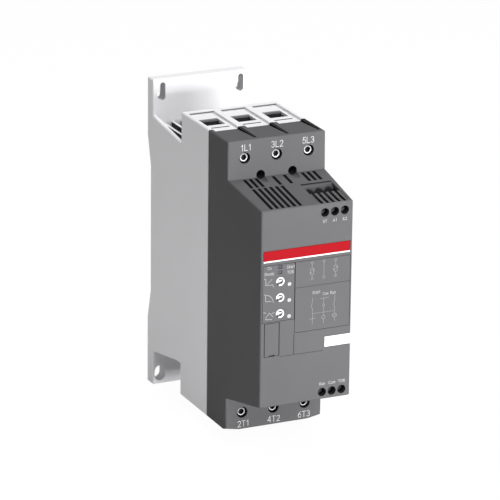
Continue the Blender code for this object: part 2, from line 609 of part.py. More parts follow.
def make_front_housing(material):
    bm = bmesh.new()
    stepped_outer(bm)
    housing = new_object("front_housing", bm, material)
    round_edges(housing, EDGE_ROUND)

    bm = bmesh.new()
    front_cavity(bm)
    terminal_pockets(bm, FACE_Y + WALL, SEAM_Y + OVERCUT)
    carve(housing, bm, "front_rooms")

    # Walls round the screw channels, and posts for the control board
    bm = bmesh.new()
    level = end_level(1, COVER_SCREW_INSET)
    for x in (-COVER_SCREW_OFFSET, COVER_SCREW_OFFSET):
        rod(bm, x, level, CHANNEL_RADIUS + CHANNEL_WALL, FACE_Y + WALL / 2, SEAM_Y - GAP / 2)
    for x in (-CONTROL_POST_X, CONTROL_POST_X):
        for z in (CONTROL_POST_LOW, CONTROL_POST_HIGH):
            rod(bm, x, z, POST_RADIUS, FRONT_Y + FRONT_WALL - WALL / 2, BOARD_FRONT_Y - GAP, COARSE)
    fuse(housing, bm, "front_bosses")

    bm = bmesh.new()
    front_ramps(bm)
    vents(bm)
    carve(housing, bm, "front_reliefs")

    bm = bmesh.new()
    corner_nicks(bm)
    carve(housing, bm, "front_nicks")

    # Screwdriver ways: power terminals, control terminals, cover screws, board screws
    bm = bmesh.new()
    for side in (1, -1):
        for x in PHASES:
            rod(bm, x, end_level(side, SCREW_INSET), ACCESS_RADIUS, FACE_Y - OVERCUT, FACE_Y + 2 * WALL, FINE)
    for z in (CONTROL_UPPER_LEVEL, CONTROL_LOWER_LEVEL):
        for x in CONTROL_XS:
            rod(bm, x, z, CONTROL_HOLE_RADIUS, FRONT_Y - OVERCUT, FRONT_Y + FRONT_WALL + GAP)
    for x in (-COVER_SCREW_OFFSET, COVER_SCREW_OFFSET):
        start, ledge = FACE_Y - CHANNEL_TROUGH, SEAM_Y - CHANNEL_LEDGE
        hole = COVER_THREAD_RADIUS + GAP
        turned(bm, x, level, [(start, CHANNEL_RADIUS), (ledge, CHANNEL_RADIUS), (ledge, hole),
                              (SEAM_Y + OVERCUT, hole)], MEDIUM)
    for x in (-CONTROL_POST_X, CONTROL_POST_X):
        for z in (CONTROL_POST_LOW, CONTROL_POST_HIGH):
            end = BOARD_FRONT_Y - GAP
            rod(bm, x, z, BOARD_SCREW_RADIUS + GAP, end - BOARD_SCREW_LENGTH, end + OVERCUT, COARSE)
    carve(housing, bm, "front_holes")

    # Seats for the panels, the band, the tag and the small cover, and the wire entry openings
    bm = bmesh.new()
    out = FRONT_Y - OVERCUT
    seat = FRONT_Y + PANEL_THICKNESS + GAP
    left, right, top = PANEL_LEFT - GAP, PANEL_RIGHT + GAP, PANEL_TOP + GAP
    step = PLATE_BOTTOM - GAP
    prism(bm, [(left, SETTINGS_BOTTOM), (PANEL_SPLIT, SETTINGS_BOTTOM), (PANEL_SPLIT, step), (right, step),
               (right, top), (left, top)], "y", out, seat)
    box(bm, (PANEL_LEFT, PANEL_RIGHT), (out, FRONT_Y + BAND_THICKNESS), (BAND_LOW, BAND_LOW + BAND_WIDTH))
    box(bm, (TAG_LEFT, HALF_WIDTH + OVERCUT), (out, FRONT_Y + TAG_THICKNESS),
        (TAG_LOW, TAG_LOW + TAG_WIDTH))
    box(bm, (COVER_LEFT - GAP, COVER_RIGHT + GAP), (out, FRONT_Y + COVER_THICKNESS + GAP),
        (COVER_LOW - GAP, COVER_HIGH - GAP))
    for side in (1, -1):
        outside = end_level(side, SLOPE_BACK / 2)
        edge = shoulder_level(side, FRONT_Y)
        box(bm, (ENTRY_LEFT - GAP, ENTRY_RIGHT + GAP),
            (FRONT_Y + ENTRY_FRONT - GAP, FRONT_Y + ENTRY_FRONT + ENTRY_LENGTH + GAP),
            sorted((edge - side * 3 * WALL, outside)))
    carve(housing, bm, "front_seats")

    # Louvres in the rim before the wire entries
    bm = bmesh.new()
    for side in (1, -1):
        notch = shoulder_level(side, FRONT_Y) - side * LOUVRE_NOTCH
        levels = sorted((notch, end_level(side, SLOPE_BACK / 2)))
        for x in louvre_xs():
            box(bm, (x - VENT_WIDTH / 2, x + VENT_WIDTH / 2), (FRONT_Y + LOUVRE_FRONT, FRONT_Y + ENTRY_FRONT),
                levels)
    carve(housing, bm, "front_louvres")

    # Ways through the seats for the dial shafts, light pipes and cover clip, and the printed field lines
    bm = bmesh.new()
    through = FRONT_Y + FRONT_WALL + OVERCUT
    for z in dial_levels():
        rod(bm, DIAL_X, z, DIAL_RADIUS + GAP, seat - WALL / 4, through)
    for z in LAMP_LEVELS:
        box(bm, (LAMP_X - LAMP_HALF_WIDTH - GAP, LAMP_X + LAMP_HALF_WIDTH + GAP), (seat - WALL / 4, through),
            (z - LAMP_HALF_HEIGHT - GAP, z + LAMP_HALF_HEIGHT + GAP))
    middle, centre = (COVER_LEFT + COVER_RIGHT) / 2, (COVER_LOW + COVER_HIGH) / 2
    half, tall = BUS_HALF_WIDTH + GAP, BUS_HALF_HEIGHT + GAP
    box(bm, (middle - half, middle + half), (FRONT_Y + COVER_THICKNESS - WALL / 4, through),
        (centre - tall, centre + tall))
    for z in clip_levels():
        box(bm, (middle - COVER_CLIP_WIDTH / 2 - GAP, middle + COVER_CLIP_WIDTH / 2 + GAP),
            (FRONT_Y + COVER_THICKNESS - WALL / 4, through),
            (z - COVER_CLIP_THICKNESS / 2 - GAP, z + COVER_CLIP_THICKNESS / 2 + GAP))
    left, right, bar = COVER_RIGHT + 3 * GAP, TAG_LEFT - 3 * GAP, PANEL_SPLIT - LINE_WIDTH
    low, over, high = FIELD_LINE, FIELD_LINE + LINE_WIDTH, PLATE_BOTTOM - 3 * GAP
    prism(bm, [(left, low), (right, low), (right, over), (PANEL_SPLIT, over), (PANEL_SPLIT, high),
               (bar, high), (bar, over), (left, over)], "y", out, FRONT_Y + LINE_DEPTH)
    carve(housing, bm, "front_ways")
    return housing


def dial_levels():
    return [DIAL_TOP - DIAL_PITCH * i for i in range(DIAL_COUNT)]


def clip_levels():
    return (COVER_LOW + COVER_CLIP_INSET, COVER_HIGH - COVER_CLIP_INSET)


# Rear housing: terminal part, side walls, back wall, flange and foot

def rear_outline():
    """Side view of the rear housing, anticlockwise from the lower seam corner."""
    bend = BLOCK_Y + FOOT_CUT_FLAT
    cut_low, cut_back = LOW_Z + FOOT_CUT_FRONT, LOW_Z + FOOT_CUT_BACK
    relief = BACK_Y - RELIEF_DEPTH
    return [
        (SEAM_Y + GAP / 2, LOW_Z), (BLOCK_Y, LOW_Z), (BLOCK_Y, cut_low), (bend, cut_low),
        (FLANGE_Y, cut_back), (FLANGE_Y, 0.0), (BACK_Y, 0.0), (BACK_Y, LOW_Z + RELIEF_LOW),
        (relief, LOW_Z + RELIEF_LOW + RELIEF_LOW_RUN), (relief, HIGH_Z - RELIEF_HIGH - RELIEF_HIGH_RUN),
        (BACK_Y, HIGH_Z - RELIEF_HIGH), (BACK_Y, HEIGHT), (FLANGE_Y, HEIGHT),
        (FLANGE_Y, HIGH_Z - GUSSET_BACK), (BLOCK_Y, HIGH_Z - GUSSET_FRONT), (BLOCK_Y, HIGH_Z),
        (SEAM_Y + GAP / 2, HIGH_Z),
    ]


def module_window():
    """Opening in the block's back wall through which the modules reach the heat sink."""
    half = HALF_WIDTH - SIDE_WALL
    reach = MODULE_HALF_HEIGHT + MODULE_FOOT_LENGTH + MODULE_WINDOW_MARGIN
    return (-half, half), (MIDDLE_Z - reach, MIDDLE_Z + reach)


def make_rear_housing(material):
    bm = bmesh.new()
    prism(bm, rear_outline(), "x", -HALF_WIDTH, HALF_WIDTH)
    housing = new_object("rear_housing", bm, material)
    round_edges(housing, EDGE_ROUND)

    # Chimney behind the block, board room and terminal rooms inside it
    bm = bmesh.new()
    inner = HALF_WIDTH - SIDE_WALL
    front = SEAM_Y - OVERCUT
    box(bm, (-inner, inner), (BLOCK_Y, FLANGE_Y), (-OVERCUT, HEIGHT + OVERCUT))
    box(bm, (WALL - HALF_WIDTH, HALF_WIDTH - WALL), (front, BLOCK_WALL_Y), (ROOM_LOW_Z, ROOM_HIGH_Z))
    terminal_pockets(bm, front, FRONT_Y + TRAY_BACK)
    carve(housing, bm, "rear_rooms")

    # Posts for the power board
    bm = bmesh.new()
    for x in (-POWER_POST_X, POWER_POST_X):
        for z in (POWER_POST_LOW, POWER_POST_HIGH):
            rod(bm, x, z, POST_RADIUS, POWER_BACK_Y + GAP, BLOCK_WALL_Y + WALL / 2, COARSE)
    fuse(housing, bm, "rear_posts")

    # Sunk trays at both ends, window for the modules, slots for the bars, screw holes
    bm = bmesh.new()
    tray_back = FRONT_Y + TRAY_BACK
    for side in (1, -1):
        levels = sorted((end_level(side, TRAY_DEPTH), end_level(side, -OVERCUT)))
        slots = sorted((end_level(side, POCKET_END - WALL), end_level(side, SLOPE_BACK + 2 * WALL)))
        for x in PHASES:
            box(bm, (x - TRAY_HALF_WIDTH, x + TRAY_HALF_WIDTH), (front, tray_back), levels)
            half = BAR_HALF_WIDTH + BAR_SLOT_GAP
            box(bm, (x - half, x + half), (BAR_Y - BAR_SLOT_GAP, BAR_BACK_Y + BAR_SLOT_GAP), slots)
    window_x, window_z = module_window()
    box(bm, window_x, (BLOCK_WALL_Y - OVERCUT, BLOCK_Y + OVERCUT), window_z)
    level = end_level(1, COVER_SCREW_INSET)
    for x in (-COVER_SCREW_OFFSET, COVER_SCREW_OFFSET):
        end = SEAM_Y - CHANNEL_LEDGE + COVER_THREAD_LENGTH + 2 * GAP
        rod(bm, x, level, COVER_THREAD_RADIUS + GAP, front, end, COARSE)
    for x in (-POWER_POST_X, POWER_POST_X):
        for z in (POWER_POST_LOW, POWER_POST_HIGH):
            end = POWER_BACK_Y + GAP
            rod(bm, x, z, BOARD_SCREW_RADIUS + GAP, end - OVERCUT, end + BOARD_SCREW_LENGTH, COARSE)
    for x in OUTER_PHASES:
        for z in sink_screw_levels():
            rod(bm, x, z, SINK_SCREW_RADIUS + GAP, BLOCK_WALL_Y - OVERCUT, BLOCK_Y + OVERCUT, COARSE)
    carve(housing, bm, "rear_reliefs")

    # Cable windows and the thin lines in front of them
    bm = bmesh.new()
    start = FRONT_Y + WINDOW_FRONT
    line = start - HINGE_LINE_LEAD
    for side in (1, -1):
        window = sorted((end_level(side, 0.0), end_level(side, SCREW_INSET)))
        groove = sorted((end_level(side, 0.0), end_level(side, TRAY_DEPTH + HINGE_LINE_DEPTH)))
        for x in PHASES:
            sides = (x - WINDOW_HALF_WIDTH, x + WINDOW_HALF_WIDTH)
            box(bm, sides, (start, start + WINDOW_LENGTH), window)
            box(bm, sides, (line, line + HINGE_LINE_WIDTH), groove)
    carve(housing, bm, "rear_windows")

    # Mounting holes, then the pockets that lighten flange and foot from behind
    bm = bmesh.new()
    for x in (-KEY_OFFSET, KEY_OFFSET):
        prism(bm, circle(x, KEY_LEVEL, KEY_RADIUS, FINE), "y", FLANGE_Y - OVERCUT, BACK_Y + OVERCUT)
    for x in (-FOOT_HOLE_OFFSET, FOOT_HOLE_OFFSET):
        outline = slot_outline(x, FOOT_HOLE_LEVEL, FOOT_HOLE_WIDTH, FOOT_HOLE_HEIGHT)
        prism(bm, outline, "y", FLANGE_Y - OVERCUT, BACK_Y + OVERCUT)
    for low, high, reach in pocket_rows():
        width = (2 * reach - POCKET_RIBS * POCKET_RIB) / (POCKET_RIBS + 1)
        for i in range(POCKET_RIBS + 1):
            left = -reach + i * (width + POCKET_RIB)
            box(bm, (left, left + width), (FLANGE_Y + POCKET_FRONT_SKIN, BACK_Y + OVERCUT), (low, high))
    carve(housing, bm, "rear_mounting_holes")

    bm = bmesh.new()
    for x in (-KEY_OFFSET, KEY_OFFSET):
        length = KEY_SLOT_TOP - KEY_RADIUS + KEY_SLOT_WIDTH
        middle = KEY_LEVEL - KEY_RADIUS + KEY_SLOT_TOP - length / 2
        outline = slot_outline(x + KEY_SLOT_SHIFT, middle, KEY_SLOT_WIDTH, length)
        prism(bm, outline, "y", FLANGE_Y - OVERCUT, BACK_Y + OVERCUT)
    carve(housing, bm, "rear_key_slots")
    return housing


def pocket_rows():
    """Low edge, high edge and half reach of the pockets in the back of the flange and of the foot."""
    flange_reach = KEY_OFFSET - KEY_RADIUS - POCKET_MARGIN
    foot_reach = FOOT_HOLE_OFFSET - FOOT_HOLE_WIDTH / 2 - POCKET_MARGIN
    return (
        (HIGH_Z - RELIEF_HIGH + POCKET_MARGIN, HEIGHT - POCKET_MARGIN, flange_reach),
        (POCKET_MARGIN, LOW_Z + FOOT_CUT_BACK, foot_reach),
    )


def sink_screw_levels():
    return (SINK_LOW + SINK_SCREW_INSET, SINK_HIGH - SINK_SCREW_INSET)


# Heat sink and the power path

def make_heat_sink(material):
    """Extruded comb: a base plate with upright fins that run back to the chimney's wall."""
    base_back = SINK_Y + SINK_BASE
    tip = FLANGE_Y - GAP
    outline = [(-SINK_HALF_WIDTH, SINK_Y), (SINK_HALF_WIDTH, SINK_Y), (SINK_HALF_WIDTH, base_back)]
    first = -FIN_PITCH * (FIN_COUNT - 1) / 2
    for i in reversed(range(FIN_COUNT)):
        x = first + FIN_PITCH * i
        root, end = FIN_THICKNESS / 2, FIN_THICKNESS / 2 * FIN_TIP_SHARE
        outline += [(x + root, base_back), (x + end, tip), (x - end, tip), (x - root, base_back)]
    outline.append((-SINK_HALF_WIDTH, base_back))
    bm = bmesh.new()
    prism(bm, outline, "z", SINK_LOW, SINK_HIGH)
    sink = new_object("heat_sink", bm, material)

    bm = bmesh.new()
    for x in OUTER_PHASES:
        for z in module_screw_levels():
            reach = MODULE_SCREW_LENGTH - MODULE_FOOT_THICKNESS + GAP
            rod(bm, x, z, MODULE_SCREW_RADIUS + GAP, SINK_Y - OVERCUT, SINK_Y + reach, COARSE)
    carve(sink, bm, "sink_holes")
    places = [(x, z) for x in OUTER_PHASES for z in sink_screw_levels()]
    fasten(sink, places, BLOCK_WALL_Y - GAP, 1, SINK_HEAD_RADIUS, SINK_HEAD_LENGTH, SINK_SCREW_RADIUS,
           SINK_SCREW_LENGTH)
    return sink


def module_screw_levels():
    reach = MODULE_HALF_HEIGHT + MODULE_FOOT_LENGTH / 2
    return (MIDDLE_Z - reach, MIDDLE_Z + reach)


def stud_levels():
    return (MIDDLE_Z - MODULE_STUD_SPREAD, MIDDLE_Z + MODULE_STUD_SPREAD)


def make_module(name, x, material):
    """Power module: tall case with a screw foot at each end, standing on the heat sink."""
    front, back = BAR_BACK_Y + GAP, SINK_Y - GAP
    foot = back - MODULE_FOOT_THICKNESS
    low, high = MIDDLE_Z - MODULE_HALF_HEIGHT, MIDDLE_Z + MODULE_HALF_HEIGHT
    foot_low, foot_high = low - MODULE_FOOT_LENGTH, high + MODULE_FOOT_LENGTH
    outline = [
        (back, foot_low), (back, foot_high), (foot, foot_high), (foot, high), (front + WALL, high),
        (front, high - WALL), (front, low + WALL), (front + WALL, low), (foot, low), (foot, foot_low),
    ]
    bm = bmesh.new()
    prism(bm, outline, "x", x - MODULE_HALF_WIDTH, x + MODULE_HALF_WIDTH)
    module = new_object(name, bm, material)

    bm = bmesh.new()
    for z in stud_levels():
        rod(bm, x, z, BAR_SCREW_RADIUS + GAP, front - OVERCUT, front + BAR_SCREW_LENGTH, COARSE)
    carve(module, bm, name + "_holes")
    fasten(module, [(x, z) for z in module_screw_levels()], foot, 1, MODULE_HEAD_RADIUS, MODULE_HEAD_LENGTH,
           MODULE_SCREW_RADIUS, MODULE_SCREW_LENGTH)
    return module


def make_bar(name, x, low, high, studs, material):
    """Flat upright copper bar with the screws that hold it on its module."""
    bm = bmesh.new()
    box(bm, (x - BAR_HALF_WIDTH, x + BAR_HALF_WIDTH), (BAR_Y, BAR_BACK_Y), (low, high))
    bar = new_object(name, bm, material)
    if studs:
        fasten(bar, [(x, z) for z in studs], BAR_Y, 1, BAR_HEAD_RADIUS, BAR_HEAD_LENGTH, BAR_SCREW_RADIUS,
               BAR_SCREW_LENGTH)
    return bar


def add_screw(bm, x, z, seat, way, head_radius, head_length, thread_radius, length):
    """Pan-head screw along Y: its head stands on the seat and its thread runs the given way."""
    crown = seat - way * head_length
    rim = seat - way * head_length * HEAD_RIM
    turned(bm, x, z, [(crown, head_radius * HEAD_CROWN), (rim, head_radius), (seat, head_radius),
                      (seat, thread_radius), (seat + way * length, thread_radius)], COARSE)


def cut_drive_slot(bm, x, z, seat, way, head_radius, head_length):
    """Straight slot across the crown of a screw head."""
    crown = seat - way * head_length
    half = head_radius * DRIVE_SLOT_WIDTH / 2
    box(bm, (x - 2 * head_radius, x + 2 * head_radius),
        sorted((crown - way * OVERCUT, crown + way * head_length * DRIVE_SLOT_DEPTH)), (z - half, z + half))


def fasten(obj, places, seat, way, head_radius, head_length, thread_radius, length):
    """Screws that are one with the piece that they hold down."""
    bm = bmesh.new()
    for x, z in places:
        add_screw(bm, x, z, seat, way, head_radius, head_length, thread_radius, length)
    fuse(obj, bm, obj.name + "_screws")
    bm = bmesh.new()
    for x, z in places:
        cut_drive_slot(bm, x, z, seat, way, head_radius, head_length)
    carve(obj, bm, obj.name + "_drives")


# Terminals

def make_power_screw(name, x, side, material):
    """Socket screw of a power clamp: its head shows through the hole in the terminal face."""
    z = end_level(side, SCREW_INSET)
    front = FACE_Y + WALL + GAP
    end = BAR_Y - GAP
    bm = bmesh.new()
    seat = front + HEAD_LENGTH
    turned(bm, x, z, [(front, HEAD_RADIUS - GAP), (front + GAP, HEAD_RADIUS), (seat, HEAD_RADIUS),
                      (seat, THREAD_RADIUS), (end, THREAD_RADIUS)], MEDIUM)
    screw = new_object(name, bm, material, origin=(x, front, z), smooth=True)
    bm = bmesh.new()
    across = HEX_ACROSS / math.sqrt(3)
    prism(bm, circle(x, z, across, 6, math.pi / 6), "y", front - OVERCUT, front + HEX_DEPTH)
    carve(screw, bm, name + "_socket")
    return screw


def make_power_clamp(name, x, side, material):
    """Box clamp round the bar: the screw draws it forwards and presses the conductor on the bar."""
    z = end_level(side, SCREW_INSET)
    front, back = CLAMP_FRONT_Y, CLAMP_BACK_Y
    half = POCKET_HALF_WIDTH - GAP
    inner = half - CLAMP_WALL_SIDE
    bm = bmesh.new()
    box(bm, (x - half, x + half), (front, back), (z - CLAMP_HALF_HEIGHT, z + CLAMP_HALF_HEIGHT))
    clamp = new_object(name, bm, material, origin=(x, front, z))
    bm = bmesh.new()
    reach = CLAMP_HALF_HEIGHT + OVERCUT
    box(bm, (x - inner, x + inner), (front + CLAMP_WALL_FRONT, back - CLAMP_WALL_BACK),
        (z - reach, z + reach))
    carve(clamp, bm, name + "_inside")
    bm = bmesh.new()
    rod(bm, x, z, THREAD_RADIUS + THREAD_GAP, front - OVERCUT, front + CLAMP_WALL_FRONT + GAP)
    carve(clamp, bm, name + "_thread")
    return clamp


def louvre_xs():
    return [ENTRY_LEFT + VENT_PITCH * (i + 0.5) for i in range(LOUVRE_COUNT)]


def make_control_block(name, side, level, material):
    """Control terminal block: scooped wire entry with ribs, wire ways, screw tunnels and clamp rooms."""
    front, back = FRONT_Y + ENTRY_FRONT, FRONT_Y + ENTRY_FRONT + ENTRY_LENGTH
    floor = level - side * CONTROL_BLOCK_REACH
    lip = FRONT_Y + ENTRY_WIRE_FRONT + ENTRY_WIRE_LENGTH + WALL / 2
    crest = back - WALL
    scoop_y = front + SCOOP_LENGTH
    low = shoulder_level(side, scoop_y) - side * SCOOP_DEPTH
    start = shoulder_level(side, front) - side * GAP
    curve = []
    steps = 7
    for i in range(steps + 1):
        angle = math.pi / 2 * i / steps
        y = front + (scoop_y - front) * math.sin(angle)
        curve.append((y, low + (start - low) * math.cos(angle)))
    outline = curve + [(lip, low), (crest, shoulder_level(side, crest)), (back, shoulder_level(side, back)),
                       (back, floor), (front, floor)]
    bm = bmesh.new()
    prism(bm, outline, "x", ENTRY_LEFT, ENTRY_RIGHT)
    block = new_object(name, bm, material)

    chamber_back = FRONT_Y + CONTROL_CLAMP_BACK + GAP
    chamber_front = FRONT_Y + CONTROL_CHAMBER_FRONT
    room = CONTROL_CLAMP_HALF_WIDTH + GAP
    tall = CONTROL_CLAMP_HALF_HEIGHT + GAP
    bm = bmesh.new()
    for x in CONTROL_XS:
        box(bm, (x - room, x + room), (chamber_front, chamber_back), (level - tall, level + tall))
    for x in louvre_xs():
        levels = sorted((low - side * LOUVRE_DEPTH, end_level(side, SLOPE_BACK / 2)))
        box(bm, (x - VENT_WIDTH / 2, x + VENT_WIDTH / 2), (front - OVERCUT, scoop_y - 2 * GAP), levels)
    carve(block, bm, name + "_rooms")

    bm = bmesh.new()
    wire = FRONT_Y + ENTRY_WIRE_FRONT
    for x in CONTROL_XS:
        rod(bm, x, level, CONTROL_HEAD_RADIUS + GAP, front - OVERCUT, chamber_front + GAP)
        half = ENTRY_WIRE_WIDTH / 2
        box(bm, (x - half, x + half), (wire, wire + ENTRY_WIRE_LENGTH), sorted((level, low + side * OVERCUT)))
        half = CONTACT_HALF_WIDTH + GAP
        contact = FRONT_Y + CONTACT_FRONT
        box(bm, (x - half, x + half), (contact - GAP, contact + CONTACT_THICKNESS + GAP),
            sorted((level, floor - side * OVERCUT)))
    carve(block, bm, name + "_ways")
    return block


def make_control_screw(name, x, level, material):
    """Slotted clamp screw of a control terminal."""
    front = FRONT_Y + CONTROL_HEAD_FRONT
    end = FRONT_Y + CONTACT_FRONT - GAP
    seat = front + CONTROL_HEAD_LENGTH
    bm = bmesh.new()
    turned(bm, x, level, [(front, CONTROL_HEAD_RADIUS), (seat, CONTROL_HEAD_RADIUS),
                          (seat, CONTROL_THREAD_RADIUS), (end, CONTROL_THREAD_RADIUS)], COARSE)
    screw = new_object(name, bm, material, origin=(x, front, level), smooth=True)
    bm = bmesh.new()
    half = CONTROL_SLOT_WIDTH / 2
    box(bm, (x - 2 * CONTROL_HEAD_RADIUS, x + 2 * CONTROL_HEAD_RADIUS),
        (front - OVERCUT, front + CONTROL_SLOT_DEPTH), (level - half, level + half))
    carve(screw, bm, name + "_slot")
    return screw


def make_control_clamp(name, x, level, material):
    front, back = FRONT_Y + CONTROL_CLAMP_FRONT, FRONT_Y + CONTROL_CLAMP_BACK
    wall = CONTROL_CLAMP_WALL
    half, tall = CONTROL_CLAMP_HALF_WIDTH, CONTROL_CLAMP_HALF_HEIGHT
    bm = bmesh.new()
    box(bm, (x - half, x + half), (front, back), (level - tall, level + tall))
    clamp = new_object(name, bm, material, origin=(x, front, level))
    bm = bmesh.new()
    inner = half - wall / 2
    box(bm, (x - inner, x + inner), (front + wall, back - wall), (level - tall - wall, level + tall + wall))
    carve(clamp, bm, name + "_inside")
    bm = bmesh.new()
    rod(bm, x, level, CONTROL_THREAD_RADIUS + THREAD_GAP, front - wall, front + wall + GAP, COARSE)
    carve(clamp, bm, name + "_thread")
    return clamp


# Pieces of the main front face

def make_settings_panel(material):
    bm = bmesh.new()
    box(bm, (PANEL_LEFT, PANEL_SPLIT - GAP), (FRONT_Y, FRONT_Y + PANEL_THICKNESS),
        (SETTINGS_BOTTOM + GAP, PANEL_TOP))
    panel = new_object("settings_panel", bm, material)
    bm = bmesh.new()
    ends = (FRONT_Y - OVERCUT, FRONT_Y + OVERCUT)
    for z in dial_levels():
        rod(bm, DIAL_X, z, DIAL_RADIUS + GAP, *ends)
    for z in LAMP_LEVELS:
        box(bm, (LAMP_X - LAMP_HALF_WIDTH - GAP, LAMP_X + LAMP_HALF_WIDTH + GAP), ends,
            (z - LAMP_HALF_HEIGHT - GAP, z + LAMP_HALF_HEIGHT + GAP))
    carve(panel, bm, "panel_holes")
    return panel


def make_diagram_plate(material):
    bm = bmesh.new()
    box(bm, (PANEL_SPLIT + GAP, PANEL_RIGHT), (FRONT_Y, FRONT_Y + PANEL_THICKNESS), (PLATE_BOTTOM, PANEL_TOP))
    plate = new_object("diagram_plate", bm, material)
    bm = bmesh.new()
    box(bm, (PANEL_SPLIT, PANEL_RIGHT + OVERCUT), (FRONT_Y - OVERCUT, FRONT_Y + LINE_DEPTH),
        (PLATE_LINE, PLATE_LINE + LINE_WIDTH))
    carve(plate, bm, "plate_line")
    return plate


def make_bus_cover(material):
    """Pull-off cover with two clips at its back and a finger notch at its lower edge."""
    middle = (COVER_LEFT + COVER_RIGHT) / 2
    back = FRONT_Y + COVER_THICKNESS
    bm = bmesh.new()
    box(bm, (COVER_LEFT, COVER_RIGHT), (FRONT_Y, back), (COVER_LOW, COVER_HIGH - 2 * GAP))
    cover = new_object("bus_cover", bm, material, origin=(middle, FRONT_Y, COVER_LOW))
    bm = bmesh.new()
    for z in clip_levels():
        box(bm, (middle - COVER_CLIP_WIDTH / 2, middle + COVER_CLIP_WIDTH / 2),
            (back - COVER_THICKNESS / 2, back + COVER_CLIP_LENGTH),
            (z - COVER_CLIP_THICKNESS / 2, z + COVER_CLIP_THICKNESS / 2))
    fuse(cover, bm, "cover_clips")
    bm = bmesh.new()
    box(bm, (middle - FINGER_WIDTH / 2, middle + FINGER_WIDTH / 2),
        (FRONT_Y - OVERCUT, FRONT_Y + FINGER_DEPTH), (COVER_LOW - OVERCUT, COVER_LOW + FINGER_HEIGHT))
    carve(cover, bm, "cover_notch")
    return cover


def make_dial(name, z, material):
    """Screwdriver dial: round face with an arrow sunk in it, on the potentiometer's shaft."""
    front = FRONT_Y + DIAL_FRONT
    back = front + DIAL_THICKNESS
    end = BOARD_FRONT_Y - POT_LENGTH - GAP
    bm = bmesh.new()
    turned(bm, DIAL_X, z, [(front, DIAL_RADIUS), (back, DIAL_RADIUS), (back, DIAL_SHAFT_RADIUS),
                           (end, DIAL_SHAFT_RADIUS)], MEDIUM)
    dial = new_object(name, bm, material, origin=(DIAL_X, front, z), smooth=True)
    tail, wing, neck, step = -DIAL_ARROW_TAIL, DIAL_ARROW_WING, DIAL_ARROW_NECK, DIAL_ARROW_STEP
    arrow = [(tail, -neck), (step, -neck), (step, -wing), (DIAL_ARROW_REACH, 0.0), (step, wing),
             (step, neck), (tail, neck)]
    bm = bmesh.new()
    prism(bm, [(DIAL_X + u, z + v) for u, v in arrow], "y", front - OVERCUT, front + DIAL_ARROW_DEPTH)
    carve(dial, bm, name + "_arrow")
    return dial


def simple_box(name, x, y, z, material):
    bm = bmesh.new()
    box(bm, x, y, z)
    return new_object(name, bm, material)


# Boards and what they carry

def board_post_places(x, low, high):
    return [(side * x, z) for side in (-1, 1) for z in (low, high)]


def header_box(bm, low, high):
    """Socket of the flat cable between two depths."""
    box(bm, (-HEADER_HALF_WIDTH, HEADER_HALF_WIDTH), (low, high),
        (HEADER_LEVEL - HEADER_HALF_HEIGHT, HEADER_LEVEL + HEADER_HALF_HEIGHT))


def contact_strip(bm, side, x, level):
    """Upright contact of a control terminal with a foot that reaches back to the board."""
    front = FRONT_Y + CONTACT_FRONT
    back = front + CONTACT_THICKNESS
    root = BOARD_FRONT_Y + BOARD_THICKNESS / 2
    tip = level + side * (CONTROL_CLAMP_HALF_HEIGHT - GAP)
    end = level - side * CONTACT_REACH
    foot = end + side * 2 * CONTACT_THICKNESS
    outline = [(front, tip), (front, end), (root, end), (root, foot), (back, foot), (back, tip)]
    prism(bm, outline, "x", x - CONTACT_HALF_WIDTH, x + CONTACT_HALF_WIDTH)


def make_control_board(material):
    """Board with setting potentiometers, lamp chips, terminal contacts, cable header and its screws."""
    board = simple_box("control_board", (-CONTROL_BOARD_HALF_WIDTH, CONTROL_BOARD_HALF_WIDTH),
                       (BOARD_FRONT_Y, BOARD_BACK_Y), (CONTROL_BOARD_LOW, CONTROL_BOARD_HIGH), material)
    inside = BOARD_FRONT_Y + BOARD_THICKNESS / 2
    bm = bmesh.new()
    for z in dial_levels():
        box(bm, (DIAL_X - POT_HALF_SIZE, DIAL_X + POT_HALF_SIZE), (BOARD_FRONT_Y - POT_LENGTH, inside),
            (z - POT_HALF_SIZE, z + POT_HALF_SIZE))
    for z in LAMP_LEVELS:
        box(bm, (LAMP_X - LAMP_HALF_WIDTH, LAMP_X + LAMP_HALF_WIDTH),
            (BOARD_FRONT_Y - LAMP_CHIP_LENGTH, inside), (z - LAMP_HALF_HEIGHT, z + LAMP_HALF_HEIGHT))
    for side, level in ((1, CONTROL_UPPER_LEVEL), (-1, CONTROL_LOWER_LEVEL)):
        for x in CONTROL_XS:
            contact_strip(bm, side, x, level)
    header_box(bm, inside, BOARD_BACK_Y + HEADER_LENGTH)
    fuse(board, bm, "control_board_parts")
    fasten(board, board_post_places(CONTROL_POST_X, CONTROL_POST_LOW, CONTROL_POST_HIGH), BOARD_BACK_Y, -1,
           BOARD_HEAD_RADIUS, BOARD_HEAD_LENGTH, BOARD_SCREW_RADIUS, BOARD_SCREW_LENGTH)
    return board


def make_power_board(material):
    """Board that carries the relays and the supply, with its cable header and screws."""
    board = simple_box("power_board", (-POWER_BOARD_HALF_WIDTH, POWER_BOARD_HALF_WIDTH),
                       (POWER_FRONT_Y, POWER_BACK_Y), (POWER_BOARD_LOW, POWER_BOARD_HIGH), material)
    bm = bmesh.new()
    for x in OUTER_PHASES:
        for z in relay_post_levels():
            rod(bm, x, z, RELAY_POST_RADIUS + GAP, POWER_FRONT_Y - OVERCUT, POWER_BACK_Y + OVERCUT, COARSE)
    carve(board, bm, "relay_post_holes")
    bm = bmesh.new()
    header_box(bm, POWER_FRONT_Y - HEADER_LENGTH, POWER_FRONT_Y + BOARD_THICKNESS / 2)
    fuse(board, bm, "power_board_header")
    fasten(board, board_post_places(POWER_POST_X, POWER_POST_LOW, POWER_POST_HIGH), POWER_FRONT_Y, 1,
           BOARD_HEAD_RADIUS, BOARD_HEAD_LENGTH, BOARD_SCREW_RADIUS, BOARD_SCREW_LENGTH)
    return board


